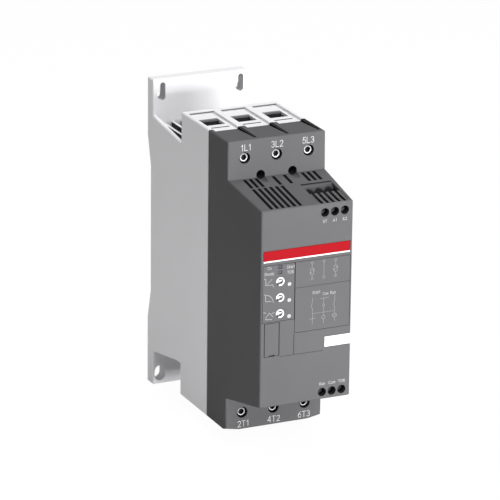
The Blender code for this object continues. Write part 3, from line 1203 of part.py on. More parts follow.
def relay_post_levels():
    return (MIDDLE_Z - RELAY_POST_SPREAD, MIDDLE_Z + RELAY_POST_SPREAD)


def make_relay(name, x, material):
    """Bypass relay: case on the power board, with two posts that reach the line and load bars."""
    back = POWER_FRONT_Y - GAP
    front = back - RELAY_LENGTH
    slope = 2 * WALL
    low, high = MIDDLE_Z - RELAY_HALF_HEIGHT, MIDDLE_Z + RELAY_HALF_HEIGHT
    outline = [(front, low + slope), (front, high - slope), (front + slope, high), (back, high), (back, low),
               (front + slope, low)]
    bm = bmesh.new()
    prism(bm, outline, "x", x - RELAY_HALF_WIDTH, x + RELAY_HALF_WIDTH)
    relay = new_object(name, bm, material)
    bm = bmesh.new()
    for z in relay_post_levels():
        rod(bm, x, z, RELAY_POST_RADIUS, back - WALL, BAR_Y - GAP, COARSE)
    fuse(relay, bm, name + "_posts")
    return relay


def make_bus_connector(material):
    """Socket behind the pull-off cover, open to the front, standing on the control board."""
    x = (COVER_LEFT + COVER_RIGHT) / 2
    z = (COVER_LOW + COVER_HIGH) / 2
    front = FRONT_Y + COVER_THICKNESS + 2 * GAP
    half, tall = BUS_HALF_WIDTH, BUS_HALF_HEIGHT
    socket = simple_box("bus_connector", (x - half, x + half), (front, BOARD_FRONT_Y - GAP),
                        (z - tall, z + tall), material)
    bm = bmesh.new()
    inner, reach = half - BUS_WALL, tall - BUS_WALL
    box(bm, (x - inner, x + inner), (front - OVERCUT, front + BUS_SOCKET_DEPTH), (z - reach, z + reach))
    carve(socket, bm, "bus_socket")
    return socket


def make_transformer(material):
    """Small supply transformer: bobbin with a laminated core frame round it."""
    back = POWER_FRONT_Y - GAP
    front = back - TRANSFORMER_LENGTH
    bm = bmesh.new()
    half, tall = TRANSFORMER_HALF_WIDTH, TRANSFORMER_HALF_HEIGHT
    box(bm, (-half, half), (front, back), (TRANSFORMER_LEVEL - tall, TRANSFORMER_LEVEL + tall))
    core = new_object("supply_transformer", bm, material)
    bm = bmesh.new()
    for edge in (-1, 1):
        outer = TRANSFORMER_LEVEL + edge * (tall + OVERCUT)
        inner = TRANSFORMER_LEVEL + edge * (tall - CORE_MARGIN / 2)
        box(bm, (-half + CORE_MARGIN, half - CORE_MARGIN), (front + CORE_MARGIN, back + OVERCUT),
            sorted((inner, outer)))
    carve(core, bm, "transformer_sides")


def make_capacitor(material):
    back = POWER_FRONT_Y - GAP
    front = back - CAPACITOR_LENGTH
    rim = WALL / 4
    bm = bmesh.new()
    turned(bm, 0.0, CAPACITOR_LEVEL, [(front, CAPACITOR_RADIUS - rim), (front + rim, CAPACITOR_RADIUS),
                                      (back, CAPACITOR_RADIUS)], MEDIUM)
    return new_object("capacitor", bm, material, smooth=True)


def make_cover_screw(name, x, material):
    """Screw that holds the two housings together, deep in its channel."""
    level = end_level(1, COVER_SCREW_INSET)
    seat = SEAM_Y - CHANNEL_LEDGE - GAP
    bm = bmesh.new()
    add_screw(bm, x, level, seat, 1, COVER_HEAD_RADIUS, COVER_HEAD_LENGTH, COVER_THREAD_RADIUS,
              COVER_THREAD_LENGTH)
    screw = new_object(name, bm, material, smooth=True)
    bm = bmesh.new()
    cut_drive_slot(bm, x, level, seat, 1, COVER_HEAD_RADIUS, COVER_HEAD_LENGTH)
    carve(screw, bm, name + "_drive")
    return screw


def make_ribbon(material):
    """Flat cable between the two boards: hangs in a shallow bow."""
    start = BOARD_BACK_Y + HEADER_LENGTH + GAP
    end = POWER_FRONT_Y - HEADER_LENGTH - GAP
    steps = 12
    middle = []
    for i in range(steps + 1):
        share = i / steps
        bow = math.sin(math.pi * share) ** 2
        middle.append((start + (end - start) * share, HEADER_LEVEL - RIBBON_DROOP * bow))
    half = RIBBON_THICKNESS / 2
    outline = [(y, z - half) for y, z in middle] + [(y, z + half) for y, z in reversed(middle)]
    bm = bmesh.new()
    prism(bm, outline, "x", -RIBBON_HALF_WIDTH, RIBBON_HALF_WIDTH)
    new_object("link_cable", bm, material, smooth=True)


def main():
    for obj in list(bpy.data.objects):
        bpy.data.objects.remove(obj, do_unlink=True)

    dark = make_material("dark_grey_plastic", (0.13, 0.13, 0.135), 0.5)
    pale = make_material("light_grey_plastic", (0.62, 0.62, 0.63), 0.5)
    panel_grey = make_material("panel_grey_plastic", (0.14, 0.14, 0.145), 0.55)
    red = make_material("red_foil", (0.75, 0.02, 0.03), 0.4)
    white = make_material("white_plastic", (0.9, 0.9, 0.9), 0.4)
    black = make_material("black_plastic", (0.03, 0.03, 0.032), 0.5)
    aluminium = make_material("extruded_aluminium", (0.7, 0.71, 0.72), 0.35, 1.0)
    steel = make_material("zinc_plated_steel", (0.66, 0.67, 0.68), 0.3, 1.0)
    copper = make_material("tinned_copper", (0.72, 0.45, 0.32), 0.3, 1.0)
    green = make_material("circuit_board", (0.02, 0.16, 0.06), 0.45)
    amber = make_material("light_pipe", (0.35, 0.4, 0.42), 0.15)

    make_front_housing(dark)
    make_rear_housing(pale)
    make_heat_sink(aluminium)
    make_settings_panel(panel_grey)
    make_diagram_plate(panel_grey)
    make_bus_cover(dark)

    simple_box("band_strip", (PANEL_LEFT + GAP, PANEL_RIGHT - GAP),
               (FRONT_Y, FRONT_Y + BAND_THICKNESS - GAP / 2),
               (BAND_LOW + GAP, BAND_LOW + BAND_WIDTH - GAP), red)
    simple_box("name_tag", (TAG_LEFT + GAP, FRONT_HALF_WIDTH), (FRONT_Y, FRONT_Y + TAG_THICKNESS - GAP),
               (TAG_LOW + GAP, TAG_LOW + TAG_WIDTH - GAP), white)

    for index, z in enumerate(dial_levels(), 1):
        make_dial(f"setting_dial_{index}", z, white)
    for index, z in enumerate(LAMP_LEVELS, 1):
        chip = BOARD_FRONT_Y - LAMP_CHIP_LENGTH
        simple_box(f"light_pipe_{index}", (LAMP_X - LAMP_HALF_WIDTH, LAMP_X + LAMP_HALF_WIDTH),
                   (FRONT_Y + GAP, chip - GAP), (z - LAMP_HALF_HEIGHT, z + LAMP_HALF_HEIGHT), amber)

    make_control_board(green)
    make_power_board(green)
    make_bus_connector(black)
    make_transformer(black)
    make_capacitor(black)
    make_ribbon(panel_grey)
    for side, x in enumerate(OUTER_PHASES):
        make_relay(f"bypass_relay_{1 + 2 * side}", x, black)

    for side, level, end_name in ((1, CONTROL_UPPER_LEVEL, "upper"), (-1, CONTROL_LOWER_LEVEL, "lower")):
        make_control_block(f"control_block_{end_name}", side, level, dark)
        for number, x in enumerate(CONTROL_XS, 1):
            make_control_screw(f"control_screw_{end_name}_{number}", x, level, steel)
            make_control_clamp(f"control_clamp_{end_name}_{number}", x, level, steel)

    for number, x in enumerate((-COVER_SCREW_OFFSET, COVER_SCREW_OFFSET), 1):
        make_cover_screw(f"cover_screw_{number}", x, steel)

    for side, end_name in ((1, "line"), (-1, "load")):
        for number, x in enumerate(PHASES, 1):
            make_power_screw(f"{end_name}_screw_{number}", x, side, steel)
            make_power_clamp(f"{end_name}_clamp_{number}", x, side, steel)
    low_stud, high_stud = stud_levels()
    low_end, high_end = LOW_Z + BAR_END_INSET, HIGH_Z - BAR_END_INSET
    for number, x in ((1, -PHASE_PITCH), (3, PHASE_PITCH)):
        make_bar(f"line_bar_{number}", x, MIDDLE_Z + BAR_HALF_SPLIT, high_end, (high_stud,), copper)
        make_bar(f"load_bar_{number}", x, low_end, MIDDLE_Z - BAR_HALF_SPLIT, (low_stud,), copper)
        make_module(f"thyristor_module_{number}", x, black)
    make_bar("through_bar_2", 0.0, low_end, high_end, (), copper)


main()
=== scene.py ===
import math

import bmesh
import bpy
import numpy as np
from mathutils import Matrix, Vector
from mathutils.bvhtree import BVHTree


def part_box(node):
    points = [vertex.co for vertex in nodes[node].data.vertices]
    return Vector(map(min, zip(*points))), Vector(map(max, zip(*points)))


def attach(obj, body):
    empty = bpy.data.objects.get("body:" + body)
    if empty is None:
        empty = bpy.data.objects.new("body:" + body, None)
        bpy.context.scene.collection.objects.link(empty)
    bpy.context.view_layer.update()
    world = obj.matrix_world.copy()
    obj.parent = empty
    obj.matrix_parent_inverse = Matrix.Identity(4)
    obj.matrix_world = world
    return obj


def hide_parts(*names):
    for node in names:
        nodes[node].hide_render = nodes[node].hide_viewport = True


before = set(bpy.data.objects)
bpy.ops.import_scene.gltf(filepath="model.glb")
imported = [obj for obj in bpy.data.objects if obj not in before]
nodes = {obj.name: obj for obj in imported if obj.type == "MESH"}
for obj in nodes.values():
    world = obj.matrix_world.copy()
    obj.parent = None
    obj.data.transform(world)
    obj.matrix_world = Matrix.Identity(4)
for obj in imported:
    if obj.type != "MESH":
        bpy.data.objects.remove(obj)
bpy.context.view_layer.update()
print("frame loaded:", len(nodes), "nodes")

mm = 0.001
shellLow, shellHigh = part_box("front_housing")
frontY = shellLow.y                         # main front face
bodyLow = shellLow.z                        # lower end of the terminal part
endCentre = (shellLow.z + shellHigh.z) / 2  # middle between its two ends
headDepth = 2.7 * mm                        # from the terminal face to the power screws' heads
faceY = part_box("line_screw_1")[0].y - headDepth


def centreOf(node):
    low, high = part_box(node)
    return (low + high) / 2


phaseXs = [centreOf(f"line_screw_{n}").x for n in (1, 2, 3)]
openingXs = [centreOf(f"control_screw_upper_{n}").x for n in (1, 2, 3)]

# Materials
# Every finish is a Principled shader with noise in Object coordinates for colour, roughness and grain. Scales
# of noise are per metre.
noiseRange = (0.3, 0.7)  # nearly all of a noise's values lie between these


def newMaterial(name):
    material = bpy.data.materials.new(name)
    material.use_nodes = True
    tree = material.node_tree
    return material, tree, tree.nodes["Principled BSDF"]


def addNoise(tree, scale, detail=2.0, stretch=None):
    noise = tree.nodes.new("ShaderNodeTexNoise")
    noise.inputs["Scale"].default_value = scale
    noise.inputs["Detail"].default_value = detail
    place = tree.nodes.new("ShaderNodeTexCoord").outputs["Object"]
    if stretch is not None:
        mapping = tree.nodes.new("ShaderNodeMapping")
        mapping.inputs["Scale"].default_value = stretch
        tree.links.new(place, mapping.inputs["Vector"])
        place = mapping.outputs["Vector"]
    tree.links.new(place, noise.inputs["Vector"])
    return noise.outputs["Fac"]


# X, Y and Z of the shaded point on its piece.
def addPosition(tree):
    parts = tree.nodes.new("ShaderNodeSeparateXYZ")
    tree.links.new(tree.nodes.new("ShaderNodeTexCoord").outputs["Object"], parts.inputs["Vector"])
    return parts.outputs["X"], parts.outputs["Y"], parts.outputs["Z"]


# Straight from low to high while the value runs from start to end, and level outside.
def ramp(tree, value, start, end, low=0.0, high=1.0):
    node = tree.nodes.new("ShaderNodeMapRange")
    for socket, number in (("From Min", start), ("From Max", end), ("To Min", low), ("To Max", high)):
        node.inputs[socket].default_value = number
    tree.links.new(value, node.inputs["Value"])
    return node.outputs["Result"]


# One operation on numbers or sockets; the second is left out where the operation takes one.
def joinValues(tree, operation, first, second=None):
    node = tree.nodes.new("ShaderNodeMath")
    node.operation = operation
    for socket, value in zip(node.inputs, (first, second)):
        if isinstance(value, (int, float)):
            socket.default_value = value
        elif value is not None:
            tree.links.new(value, socket)
    return node.outputs["Value"]


# First colour where the factor is nought, second where it is one; each is a colour or a socket.
def mixColours(tree, factor, first, second):
    mix = tree.nodes.new("ShaderNodeMix")
    mix.data_type = "RGBA"
    for socket, colour in (("A", first), ("B", second)):
        if isinstance(colour, tuple):
            mix.inputs[socket].default_value = (*colour, 1.0)
        else:
            tree.links.new(colour, mix.inputs[socket])
    tree.links.new(factor, mix.inputs["Factor"])
    return mix.outputs["Result"]


# What the finishes end with: a colour, a roughness that follows a noise between two limits, shine and bump.
def finishShader(tree, shader, colour, noise, roughness, specular, height, strength, depth):
    tree.links.new(colour, shader.inputs["Base Color"])
    tree.links.new(ramp(tree, noise, *noiseRange, *roughness), shader.inputs["Roughness"])
    shader.inputs["Specular IOR Level"].default_value = specular
    bump = tree.nodes.new("ShaderNodeBump")
    bump.inputs["Strength"].default_value = strength
    bump.inputs["Distance"].default_value = depth
    tree.links.new(height, bump.inputs["Height"])
    tree.links.new(bump.outputs["Normal"], shader.inputs["Normal"])


moulding = {"driftScale": 18.0, "driftDetail": 3.0, "grainScale": 2600.0, "grainDepth": 0.08 * mm,
            "smoother": 0.04, "rougher": 0.05}


# Moulded plastic: broad faint shade drift, a fine spark-eroded grain and a roughness that drifts with it.
def plastic(name, colour, drift=0.05, roughness=0.5, grain=0.25, specular=0.5):
    material, tree, shader = newMaterial(name)
    broad = addNoise(tree, moulding["driftScale"], moulding["driftDetail"])
    fine = addNoise(tree, moulding["grainScale"])
    dark, pale = (tuple(c * share for c in colour) for share in (1 - drift, 1 + drift))
    tone = mixColours(tree, ramp(tree, broad, *noiseRange), dark, pale)
    limits = (roughness - moulding["smoother"], roughness + moulding["rougher"])
    finishShader(tree, shader, tone, broad, limits, specular, fine, grain, moulding["grainDepth"])
    return material


def printInk(name, colour, drift=0.05):
    return plastic(name, colour, drift, roughness=0.5, grain=0.05, specular=0.2)


# Box round the keyholes, and the tone of the painted shade laid inside it
keyholes = {"low": (24.5 * mm, 80.7 * mm, 201.0 * mm), "high": (33.6 * mm, 89.8 * mm, 217.5 * mm),
            "shade": (0.57, 0.565, 0.58)}


# The shell's plastic, with painted shade in the boxes round its keyholes, where the holes' walls lie in
# shadow. X is measured from the middle, for both halves.
def shellPlastic(name, colour):
    material = plastic(name, colour, drift=0.02, roughness=0.55, grain=0.2, specular=0.1)
    tree = material.node_tree
    base = tree.nodes["Principled BSDF"].inputs["Base Color"]
    x, y, z = addPosition(tree)
    inside = 1.0
    for value, low, high in zip((joinValues(tree, "ABSOLUTE", x), y, z), keyholes["low"], keyholes["high"]):
        above = joinValues(tree, "GREATER_THAN", value, low)
        within = joinValues(tree, "MULTIPLY", above, joinValues(tree, "LESS_THAN", value, high))
        inside = joinValues(tree, "MULTIPLY", inside, within)
    tree.links.new(mixColours(tree, inside, base.links[0].from_socket, keyholes["shade"]), base)
    return material


drawn = {"scale": 400.0, "detail": 4.0, "dark": 0.88, "smoother": 0.08, "rougher": 0.1, "specular": 0.5,
         "grain": 0.15, "depth": 0.05 * mm}


# Metal: drawn or plated surface, with streaks along one axis where its noise is stretched.
def metal(name, colour, roughness, stretch=None):
    material, tree, shader = newMaterial(name)
    streaks = addNoise(tree, drawn["scale"], drawn["detail"], stretch)
    dark = tuple(c * drawn["dark"] for c in colour)
    tone = mixColours(tree, ramp(tree, streaks, *noiseRange), dark, colour)
    limits = (roughness - drawn["smoother"], roughness + drawn["rougher"])
    finishShader(tree, shader, tone, streaks, limits, drawn["specular"], streaks, drawn["grain"],
                 drawn["depth"])
    shader.inputs["Metallic"].default_value = 1.0
    return material


sawn = {"scale": 900.0, "detail": 3.0, "cut": 0.3 * mm, "step": 0.1 * mm, "paintedShade": (0.035, 0.036, 0.040),
        "dull": (0.76, 0.77, 0.78), "bright": (0.86, 0.87, 0.88), "roughness": (0.42, 0.55), "specular": 0.3,
        "grain": 0.2, "depth": 0.06 * mm}


# Heat sink: dark faces that are painted shade between the fins, and pale sawn ends that are partly the bare
# metal's colour and partly a painted highlight of their lit tops, with saw marks across the ends.
def finsWithPaintedShade(name, low, high):
    material, tree, shader = newMaterial(name)
    marks = addNoise(tree, sawn["scale"], sawn["detail"])
    z, step, cut = addPosition(tree)[2], sawn["step"], high - sawn["cut"]
    below = joinValues(tree, "SUBTRACT", 1.0, ramp(tree, z, low, low + step))
    ends = joinValues(tree, "MAXIMUM", ramp(tree, z, cut, cut + step), below)
    bare = mixColours(tree, ramp(tree, marks, *noiseRange), sawn["dull"], sawn["bright"])
    tone = mixColours(tree, ends, sawn["paintedShade"], bare)
    finishShader(tree, shader, tone, marks, sawn["roughness"], sawn["specular"], marks, sawn["grain"],
                 sawn["depth"])
    return material


block = {"front": 2.0 * mm, "frontStep": 1.0 * mm, "edge": 24.4 * mm, "edgeStep": (-0.4 * mm, 0.6 * mm),
         "lobe": 1.5 * mm, "groove": 28.2 * mm, "grooveStep": 0.1 * mm, "grey": (0.078, 0.077, 0.080),
         "dark": (0.010, 0.010, 0.011), "roughness": (0.55, 0.65), "specular": 0.05, "grain": 0.2}


# Terminal block: grey at its front and on its sloping back, and painted shade between them: dark up to an
# edge that swings back over each wire opening by the absolute cosine of the distance from it, and painted
# shade again in the groove behind its crest.
def blockPlastic(name, openings):
    material, tree, shader = newMaterial(name)
    x, y, _ = addPosition(tree)
    front, edge, groove = (frontY + block[key] for key in ("front", "edge", "groove"))
    shift = joinValues(tree, "SUBTRACT", x, openings[0])
    swing = joinValues(tree, "MULTIPLY", shift, math.pi / (openings[1] - openings[0]))
    lobes = joinValues(tree, "ABSOLUTE", joinValues(tree, "COSINE", swing))
    scallops = joinValues(tree, "ADD", joinValues(tree, "MULTIPLY", lobes, block["lobe"]), edge)
    before = ramp(tree, joinValues(tree, "SUBTRACT", scallops, y), *block["edgeStep"])
    between = joinValues(tree, "MINIMUM", before, ramp(tree, y, front, front + block["frontStep"]))
    shade = joinValues(tree, "MAXIMUM", between, ramp(tree, y, groove, groove + block["grooveStep"]))
    tone = mixColours(tree, shade, block["grey"], block["dark"])
    grain = addNoise(tree, moulding["grainScale"])
    finishShader(tree, shader, tone, grain, block["roughness"], block["specular"], grain,
                 block["grain"], moulding["grainDepth"])
    return material


foil = {"seam": 142.9 * mm, "scale": 900.0, "roughness": (0.48, 0.56), "specular": 0.03, "grain": 0.08,
        "depth": 0.05 * mm}


# Printed foil: two colours that meet at one height on the piece.
def bandFoil(name, upper, lower):
    material, tree, shader = newMaterial(name)
    above = joinValues(tree, "GREATER_THAN", addPosition(tree)[2], foil["seam"])
    grain = addNoise(tree, foil["scale"])
    finishShader(tree, shader, mixColours(tree, above, lower, upper), grain, foil["roughness"],
                 foil["specular"], grain, foil["grain"], foil["depth"])
    return material


pipeLook = {"scale": 700.0, "dark": (0.045, 0.050, 0.060), "pale": (0.070, 0.078, 0.090), "roughness": 0.18,
            "coat": 0.4}


# Light pipe: unlit, so dark, with a clear smooth skin.
def lightPipe(name):
    material, tree, shader = newMaterial(name)
    tone = mixColours(tree, addNoise(tree, pipeLook["scale"]), pipeLook["dark"], pipeLook["pale"])
    tree.links.new(tone, shader.inputs["Base Color"])
    shader.inputs["Roughness"].default_value = pipeLook["roughness"]
    shader.inputs["Coat Weight"].default_value = pipeLook["coat"]
    return material


colours = {
    "darkGrey": (0.110, 0.109, 0.113), "panelGrey": (0.109, 0.108, 0.112), "lightGrey": (0.82, 0.815, 0.83),
    "red": (0.30, 0.0065, 0.011), "white": (0.86, 0.86, 0.86), "black": (0.022, 0.022, 0.024),
    "board": (0.02, 0.13, 0.05), "zinc": (0.66, 0.67, 0.68), "tinned": (0.30, 0.29, 0.28),
    "screw": (0.31, 0.31, 0.32), "darkScrewTone": (0.06, 0.06, 0.063), "printWhite": (0.50, 0.50, 0.50),
    "printPale": (0.40, 0.40, 0.40), "printSoft": (0.34, 0.34, 0.34), "printFaint": (0.23, 0.23, 0.235),
    "tray": (0.20, 0.198, 0.203), "socket": (0.03, 0.03, 0.032), "vent": (0.005, 0.005, 0.0055),
}
sinkLow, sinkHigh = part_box("heat_sink")
finRise = 3.0 * mm  # the fins stand this much beyond the sink's base
darkPlastic = plastic("moulded_dark_grey", colours["darkGrey"], roughness=0.6, specular=0.01)
panelPlastic = plastic("panel_grey", colours["panelGrey"], drift=0.03, roughness=0.55, grain=0.12,
                       specular=0.03)
lightPlastic = shellPlastic("moulded_light_grey", colours["lightGrey"])
whitePlastic = plastic("white_moulding", colours["white"], drift=0.02, roughness=0.4, grain=0.08)
blackPlastic = plastic("black_moulding", colours["black"], drift=0.1, roughness=0.5)
redFoil = bandFoil("red_and_white_foil", colours["red"], colours["white"])
aluminium = finsWithPaintedShade("aluminium_with_painted_shade", sinkLow.z, sinkHigh.z)
finTip = finsWithPaintedShade("fin_ends_with_painted_shade", sinkLow.z - finRise, sinkHigh.z + finRise)
zinc = metal("plated_steel", colours["zinc"], 0.3)
tinned = metal("tinned_copper", colours["tinned"], 0.35, (4.0, 1.0, 0.2))
# Dark steel for the control screws, which are dark in their deep holes
darkSteel = metal("dark_screw_steel", colours["darkScrewTone"], 0.42)
screwSteel = metal("plated_screw", colours["screw"], 0.4)
board = plastic("solder_resist", colours["board"], drift=0.12, roughness=0.4)
printWhite = printInk("white_print", colours["printWhite"], drift=0.03)
printPale = printInk("pale_print", colours["printPale"])
printSoft = printInk("soft_print", colours["printSoft"])
printFaint = printInk("faint_print", colours["printFaint"])
# Painted shade: the next three finishes are dark tones for strips, rings and shells laid where shade falls
trayShade = plastic("tray_shade", colours["tray"], drift=0.06, roughness=0.6, grain=0.1, specular=0.05)
socketDark = plastic("socket_shadow", colours["socket"], drift=0.2, roughness=0.6, specular=0.1)
ventShade = plastic("vent_shade", colours["vent"], drift=0.3, roughness=0.7, specular=0.01)
terminalBlock = blockPlastic("terminal_block_painted_shade", openingXs)
pipePlastic = lightPipe("clear_light_pipe")

nodeFinishes = {
    "front_housing": darkPlastic, "rear_housing": lightPlastic, "heat_sink": aluminium,
    "settings_panel": panelPlastic, "diagram_plate": panelPlastic, "bus_cover": darkPlastic,
    "band_strip": redFoil, "name_tag": whitePlastic, "link_cable": panelPlastic,
}
wordFinishes = {"bar": tinned, "screw": zinc, "clamp": zinc, "dial": whitePlastic, "pipe": pipePlastic,
                "board": board, "block": terminalBlock}
for name, node in nodes.items():
    likely = [finish for word, finish in wordFinishes.items() if word in name] + [blackPlastic]
    node.data.materials.clear()
    node.data.materials.append(nodeFinishes.get(name, likely[0]))
print("finishes set")


# New pieces
def addMesh(name, points, faces, material, body):
    mesh = bpy.data.meshes.new(name)
    mesh.from_pydata(np.asarray(points).tolist(), [], faces)
    mesh.update()
    obj = bpy.data.objects.new(name, mesh)
    bpy.context.scene.collection.objects.link(obj)
    mesh.materials.append(material)
    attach(obj, body)
    return obj


# Several shapes as one piece: the faces of each are counted on from the points before it.
def addShapes(name, shapes, material, body):
    faces, count = [], 0
    for points, shapeFaces in shapes:
        faces += [[int(corner) + count for corner in face] for face in shapeFaces]
        count += len(points)
    return addMesh(name, np.concatenate([points for points, _ in shapes]), faces, material, body)


# Quads of a grid of rows x columns of points, optionally closed along the rows.
def gridFaces(rows, columns, closed=False):
    i, j = np.meshgrid(np.arange(rows - 1), np.arange(columns if closed else columns - 1), indexing="ij")
    k = (j + 1) % columns
    quads = np.stack([i * columns + j, i * columns + k, (i + 1) * columns + k, (i + 1) * columns + j], -1)
    return quads.reshape(-1, 4)


# A line drawn on a face that looks towards -Y: the path is offset to both sides along its normals, by half
# its width, and runs on by half its width at both ends.
def lineShape(path, width, y):
    path = np.array(path, float)
    step = np.gradient(path, axis=0)
    step /= np.linalg.norm(step, axis=1)[:, None]
    path[0] -= step[0] * width / 2
    path[-1] += step[-1] * width / 2
    normal = np.stack([-step[:, 1], step[:, 0]], -1) * width / 2
    sides = np.stack([path - normal, path + normal])
    points = np.stack([sides[..., 0], np.full(sides.shape[:2], y), sides[..., 1]], -1).reshape(-1, 3)
    return points, gridFaces(2, len(path))


# Points along an ellipse: centre plus radius times cosine and sine of an even row of angles.
def arc(cx, cz, rx, rz, start, end, steps=14):
    angle = np.radians(np.linspace(start, end, steps))
    return np.stack([cx + rx * np.cos(angle), cz + rz * np.sin(angle)], -1)


# Points of a broken line: X and Z of each in turn.
def line(*numbers):
    return np.array(numbers, float).reshape(-1, 2)


# A flat disc: one face on even points round a circle.
def discShape(cx, cz, radius, y, steps=28):
    rim = arc(cx, cz, radius, radius, 0, 360, steps + 1)[:-1]
    return np.stack([rim[:, 0], np.full(steps, y), rim[:, 1]], -1), [list(range(steps))]


# A flat plate: its outline, anticlockwise seen from -Y, is repeated at the front and at the back.
def plateShape(outline, front, back):
    count = len(outline)
    ends = [np.stack([outline[:, 0], np.full(count, y), outline[:, 1]], -1) for y in (front, back)]
    j = np.arange(count)
    k = (j + 1) % count
    sides = np.stack([j, j + count, k + count, k], -1).tolist()
    return np.concatenate(ends), [list(range(count)), list(range(2 * count - 1, count - 1, -1))] + sides


# A turned body round an axis along Y: each row gives a radius, a depth and how far its circle is pulled to a
# hexagon. The hexagon's radius is cos 30 over cos of the angle from the middle of the nearest side.
def turnedShape(cx, cz, rows, steps=72):
    rows = np.asarray(rows, float)
    angle = np.linspace(0, 2 * np.pi, steps, endpoint=False)[None, :]
    hexagon = math.cos(math.pi / 6) / np.cos(np.mod(angle, math.pi / 3) - math.pi / 6)
    radius = rows[:, :1] * (1 - rows[:, 2:] + rows[:, 2:] * hexagon)
    depth = np.repeat(rows[:, 1:2], steps, 1)
    points = np.stack([cx + radius * np.cos(angle), depth, cz + radius * np.sin(angle)], -1)
    return points.reshape(-1, 3), gridFaces(len(rows), steps, True)[:, ::-1]


# Poles are merged, and edges sharper than a number of degrees stay sharp.
def closePoles(obj, merge=1e-7, sharp=30):
    mesh = bmesh.new()
    mesh.from_mesh(obj.data)
    bmesh.ops.remove_doubles(mesh, verts=mesh.verts, dist=merge)
    bmesh.ops.recalc_face_normals(mesh, faces=mesh.faces)
    for edge in mesh.edges:
        edge.smooth = edge.calc_face_angle(math.pi) < math.radians(sharp)
    for face in mesh.faces:
        face.smooth = True
    mesh.to_mesh(obj.data)
    mesh.free()


def softenEdges(obj, width, segments=2, sharp=40):
    bevel = obj.modifiers.new("soft_edges", "BEVEL")
    bevel.width = width
    bevel.segments = segments
    bevel.limit_method = "ANGLE"
    bevel.angle_limit = math.radians(sharp)


# Lettering: every letter is a few strokes in a cell one high, given with the letter's width.
bowl = arc(0.24, 0.35, 0.24, 0.35, 0, 360, 20)
letters = {
    "1": (0.40, [line(0.05, 0.76, 0.27, 0.98), line(0.27, 1, 0.27, 0)]),
    "2": (0.56, [arc(0.28, 0.72, 0.25, 0.28, 165, -32), line(0.49, 0.57, 0.05, 0.02),
                 line(0.02, 0, 0.56, 0)]),
    "3": (0.54, [arc(0.25, 0.74, 0.23, 0.26, 155, -80), arc(0.26, 0.26, 0.26, 0.26, 85, -155)]),
    "4": (0.58, [line(0.42, 0, 0.42, 1), line(0.40, 0.98, 0.0, 0.3), line(0.0, 0.3, 0.58, 0.3)]),
    "5": (0.54, [line(0.5, 1, 0.12, 1), line(0.12, 1, 0.06, 0.5), arc(0.26, 0.32, 0.27, 0.32, 138, -150)]),
    "6": (0.54, [arc(0.27, 0.3, 0.25, 0.3, 0, 360, 22), arc(0.62, 0.3, 0.60, 0.72, 110, 178, 8)]),
    "A": (0.64, [line(0, 0, 0.32, 1), line(0.32, 1, 0.64, 0), line(0.12, 0.33, 0.52, 0.33)]),
    "C": (0.64, [arc(0.36, 0.5, 0.35, 0.5, 48, 312, 18)]),
    "L": (0.48, [line(0, 1, 0, 0), line(0, 0, 0.48, 0)]),
    "O": (0.72, [arc(0.36, 0.5, 0.36, 0.5, 0, 360, 26)]),
    "R": (0.56, [line(0, 0, 0, 1), line(0, 1, 0.28, 1), arc(0.28, 0.74, 0.24, 0.26, 90, -90),
                 line(0.28, 0.48, 0, 0.48), line(0.28, 0.46, 0.56, 0)]),
    "S": (0.54, [arc(0.27, 0.74, 0.24, 0.26, 35, 265), arc(0.26, 0.25, 0.27, 0.25, 85, -150)]),
    "T": (0.58, [line(0, 1, 0.58, 1), line(0.29, 1, 0.29, 0)]),
    "a": (0.48, [bowl, line(0.48, 0.7, 0.48, 0)]),
    "d": (0.48, [bowl, line(0.48, 1, 0.48, 0)]),
    "e": (0.48, [arc(0.24, 0.35, 0.24, 0.35, 0, 310, 18), line(0.02, 0.37, 0.46, 0.37)]),
    "m": (0.70, [line(0, 0.7, 0, 0), arc(0.17, 0.46, 0.17, 0.24, 180, 0, 8), line(0.34, 0.46, 0.34, 0),
                 arc(0.52, 0.46, 0.17, 0.24, 180, 0, 8), line(0.69, 0.46, 0.69, 0)]),
    "n": (0.42, [line(0, 0.7, 0, 0), arc(0.21, 0.45, 0.21, 0.25, 180, 0, 10), line(0.42, 0.45, 0.42, 0)]),
    "o": (0.48, [bowl]),
    "r": (0.26, [line(0, 0.7, 0, 0), arc(0.22, 0.4, 0.22, 0.3, 180, 75, 8)]),
    "t": (0.30, [line(0.12, 0.95, 0.12, 0), line(0, 0.7, 0.28, 0.7)]),
    "u": (0.42, [line(0, 0.7, 0, 0.25), arc(0.21, 0.25, 0.21, 0.25, 180, 360, 10), line(0.42, 0.7, 0.42, 0)]),
    "y": (0.44, [line(0, 0.7, 0.22, 0.05), line(0.44, 0.7, 0.12, -0.28)]),
}
printLook = {"thick": 0.04 * mm, "lift": 0.001 * mm, "letterGap": 0.24}  # the gap is in letter heights


# Strokes of a word: each letter is moved on by the widths before it, then all are scaled to the height, and
# sideways by the stretch.
def wordStrokes(text, x, z, height, stretch=1.0):
    widths = np.array([letters[character][0] + printLook["letterGap"] for character in text])
    starts = np.concatenate([[0.0], np.cumsum(widths)[:-1]])
    middle = (widths.sum() - printLook["letterGap"]) / 2
    strokes = []
    for character, start in zip(text, starts):
        for stroke in letters[character][1]:
            strokes.append((stroke + (start - middle, -0.5)) * (height * stretch, height) + (x, z))
    return strokes


# All strokes of one print, each a hair above the one before so that crossings stay clean.
def printStrokes(name, strokes, width, y, material, discs=()):
    surface = y - printLook["thick"]
    shapes = [lineShape(stroke, width, surface - printLook["lift"] * index)
              for index, stroke in enumerate(strokes)]
    shapes += [discShape(x, z, radius, surface) for x, z, radius in discs]
    return addShapes(name, shapes, material, "housing")


def level(height):
    return bodyLow + height * mm  # heights are measured from the body's lower end


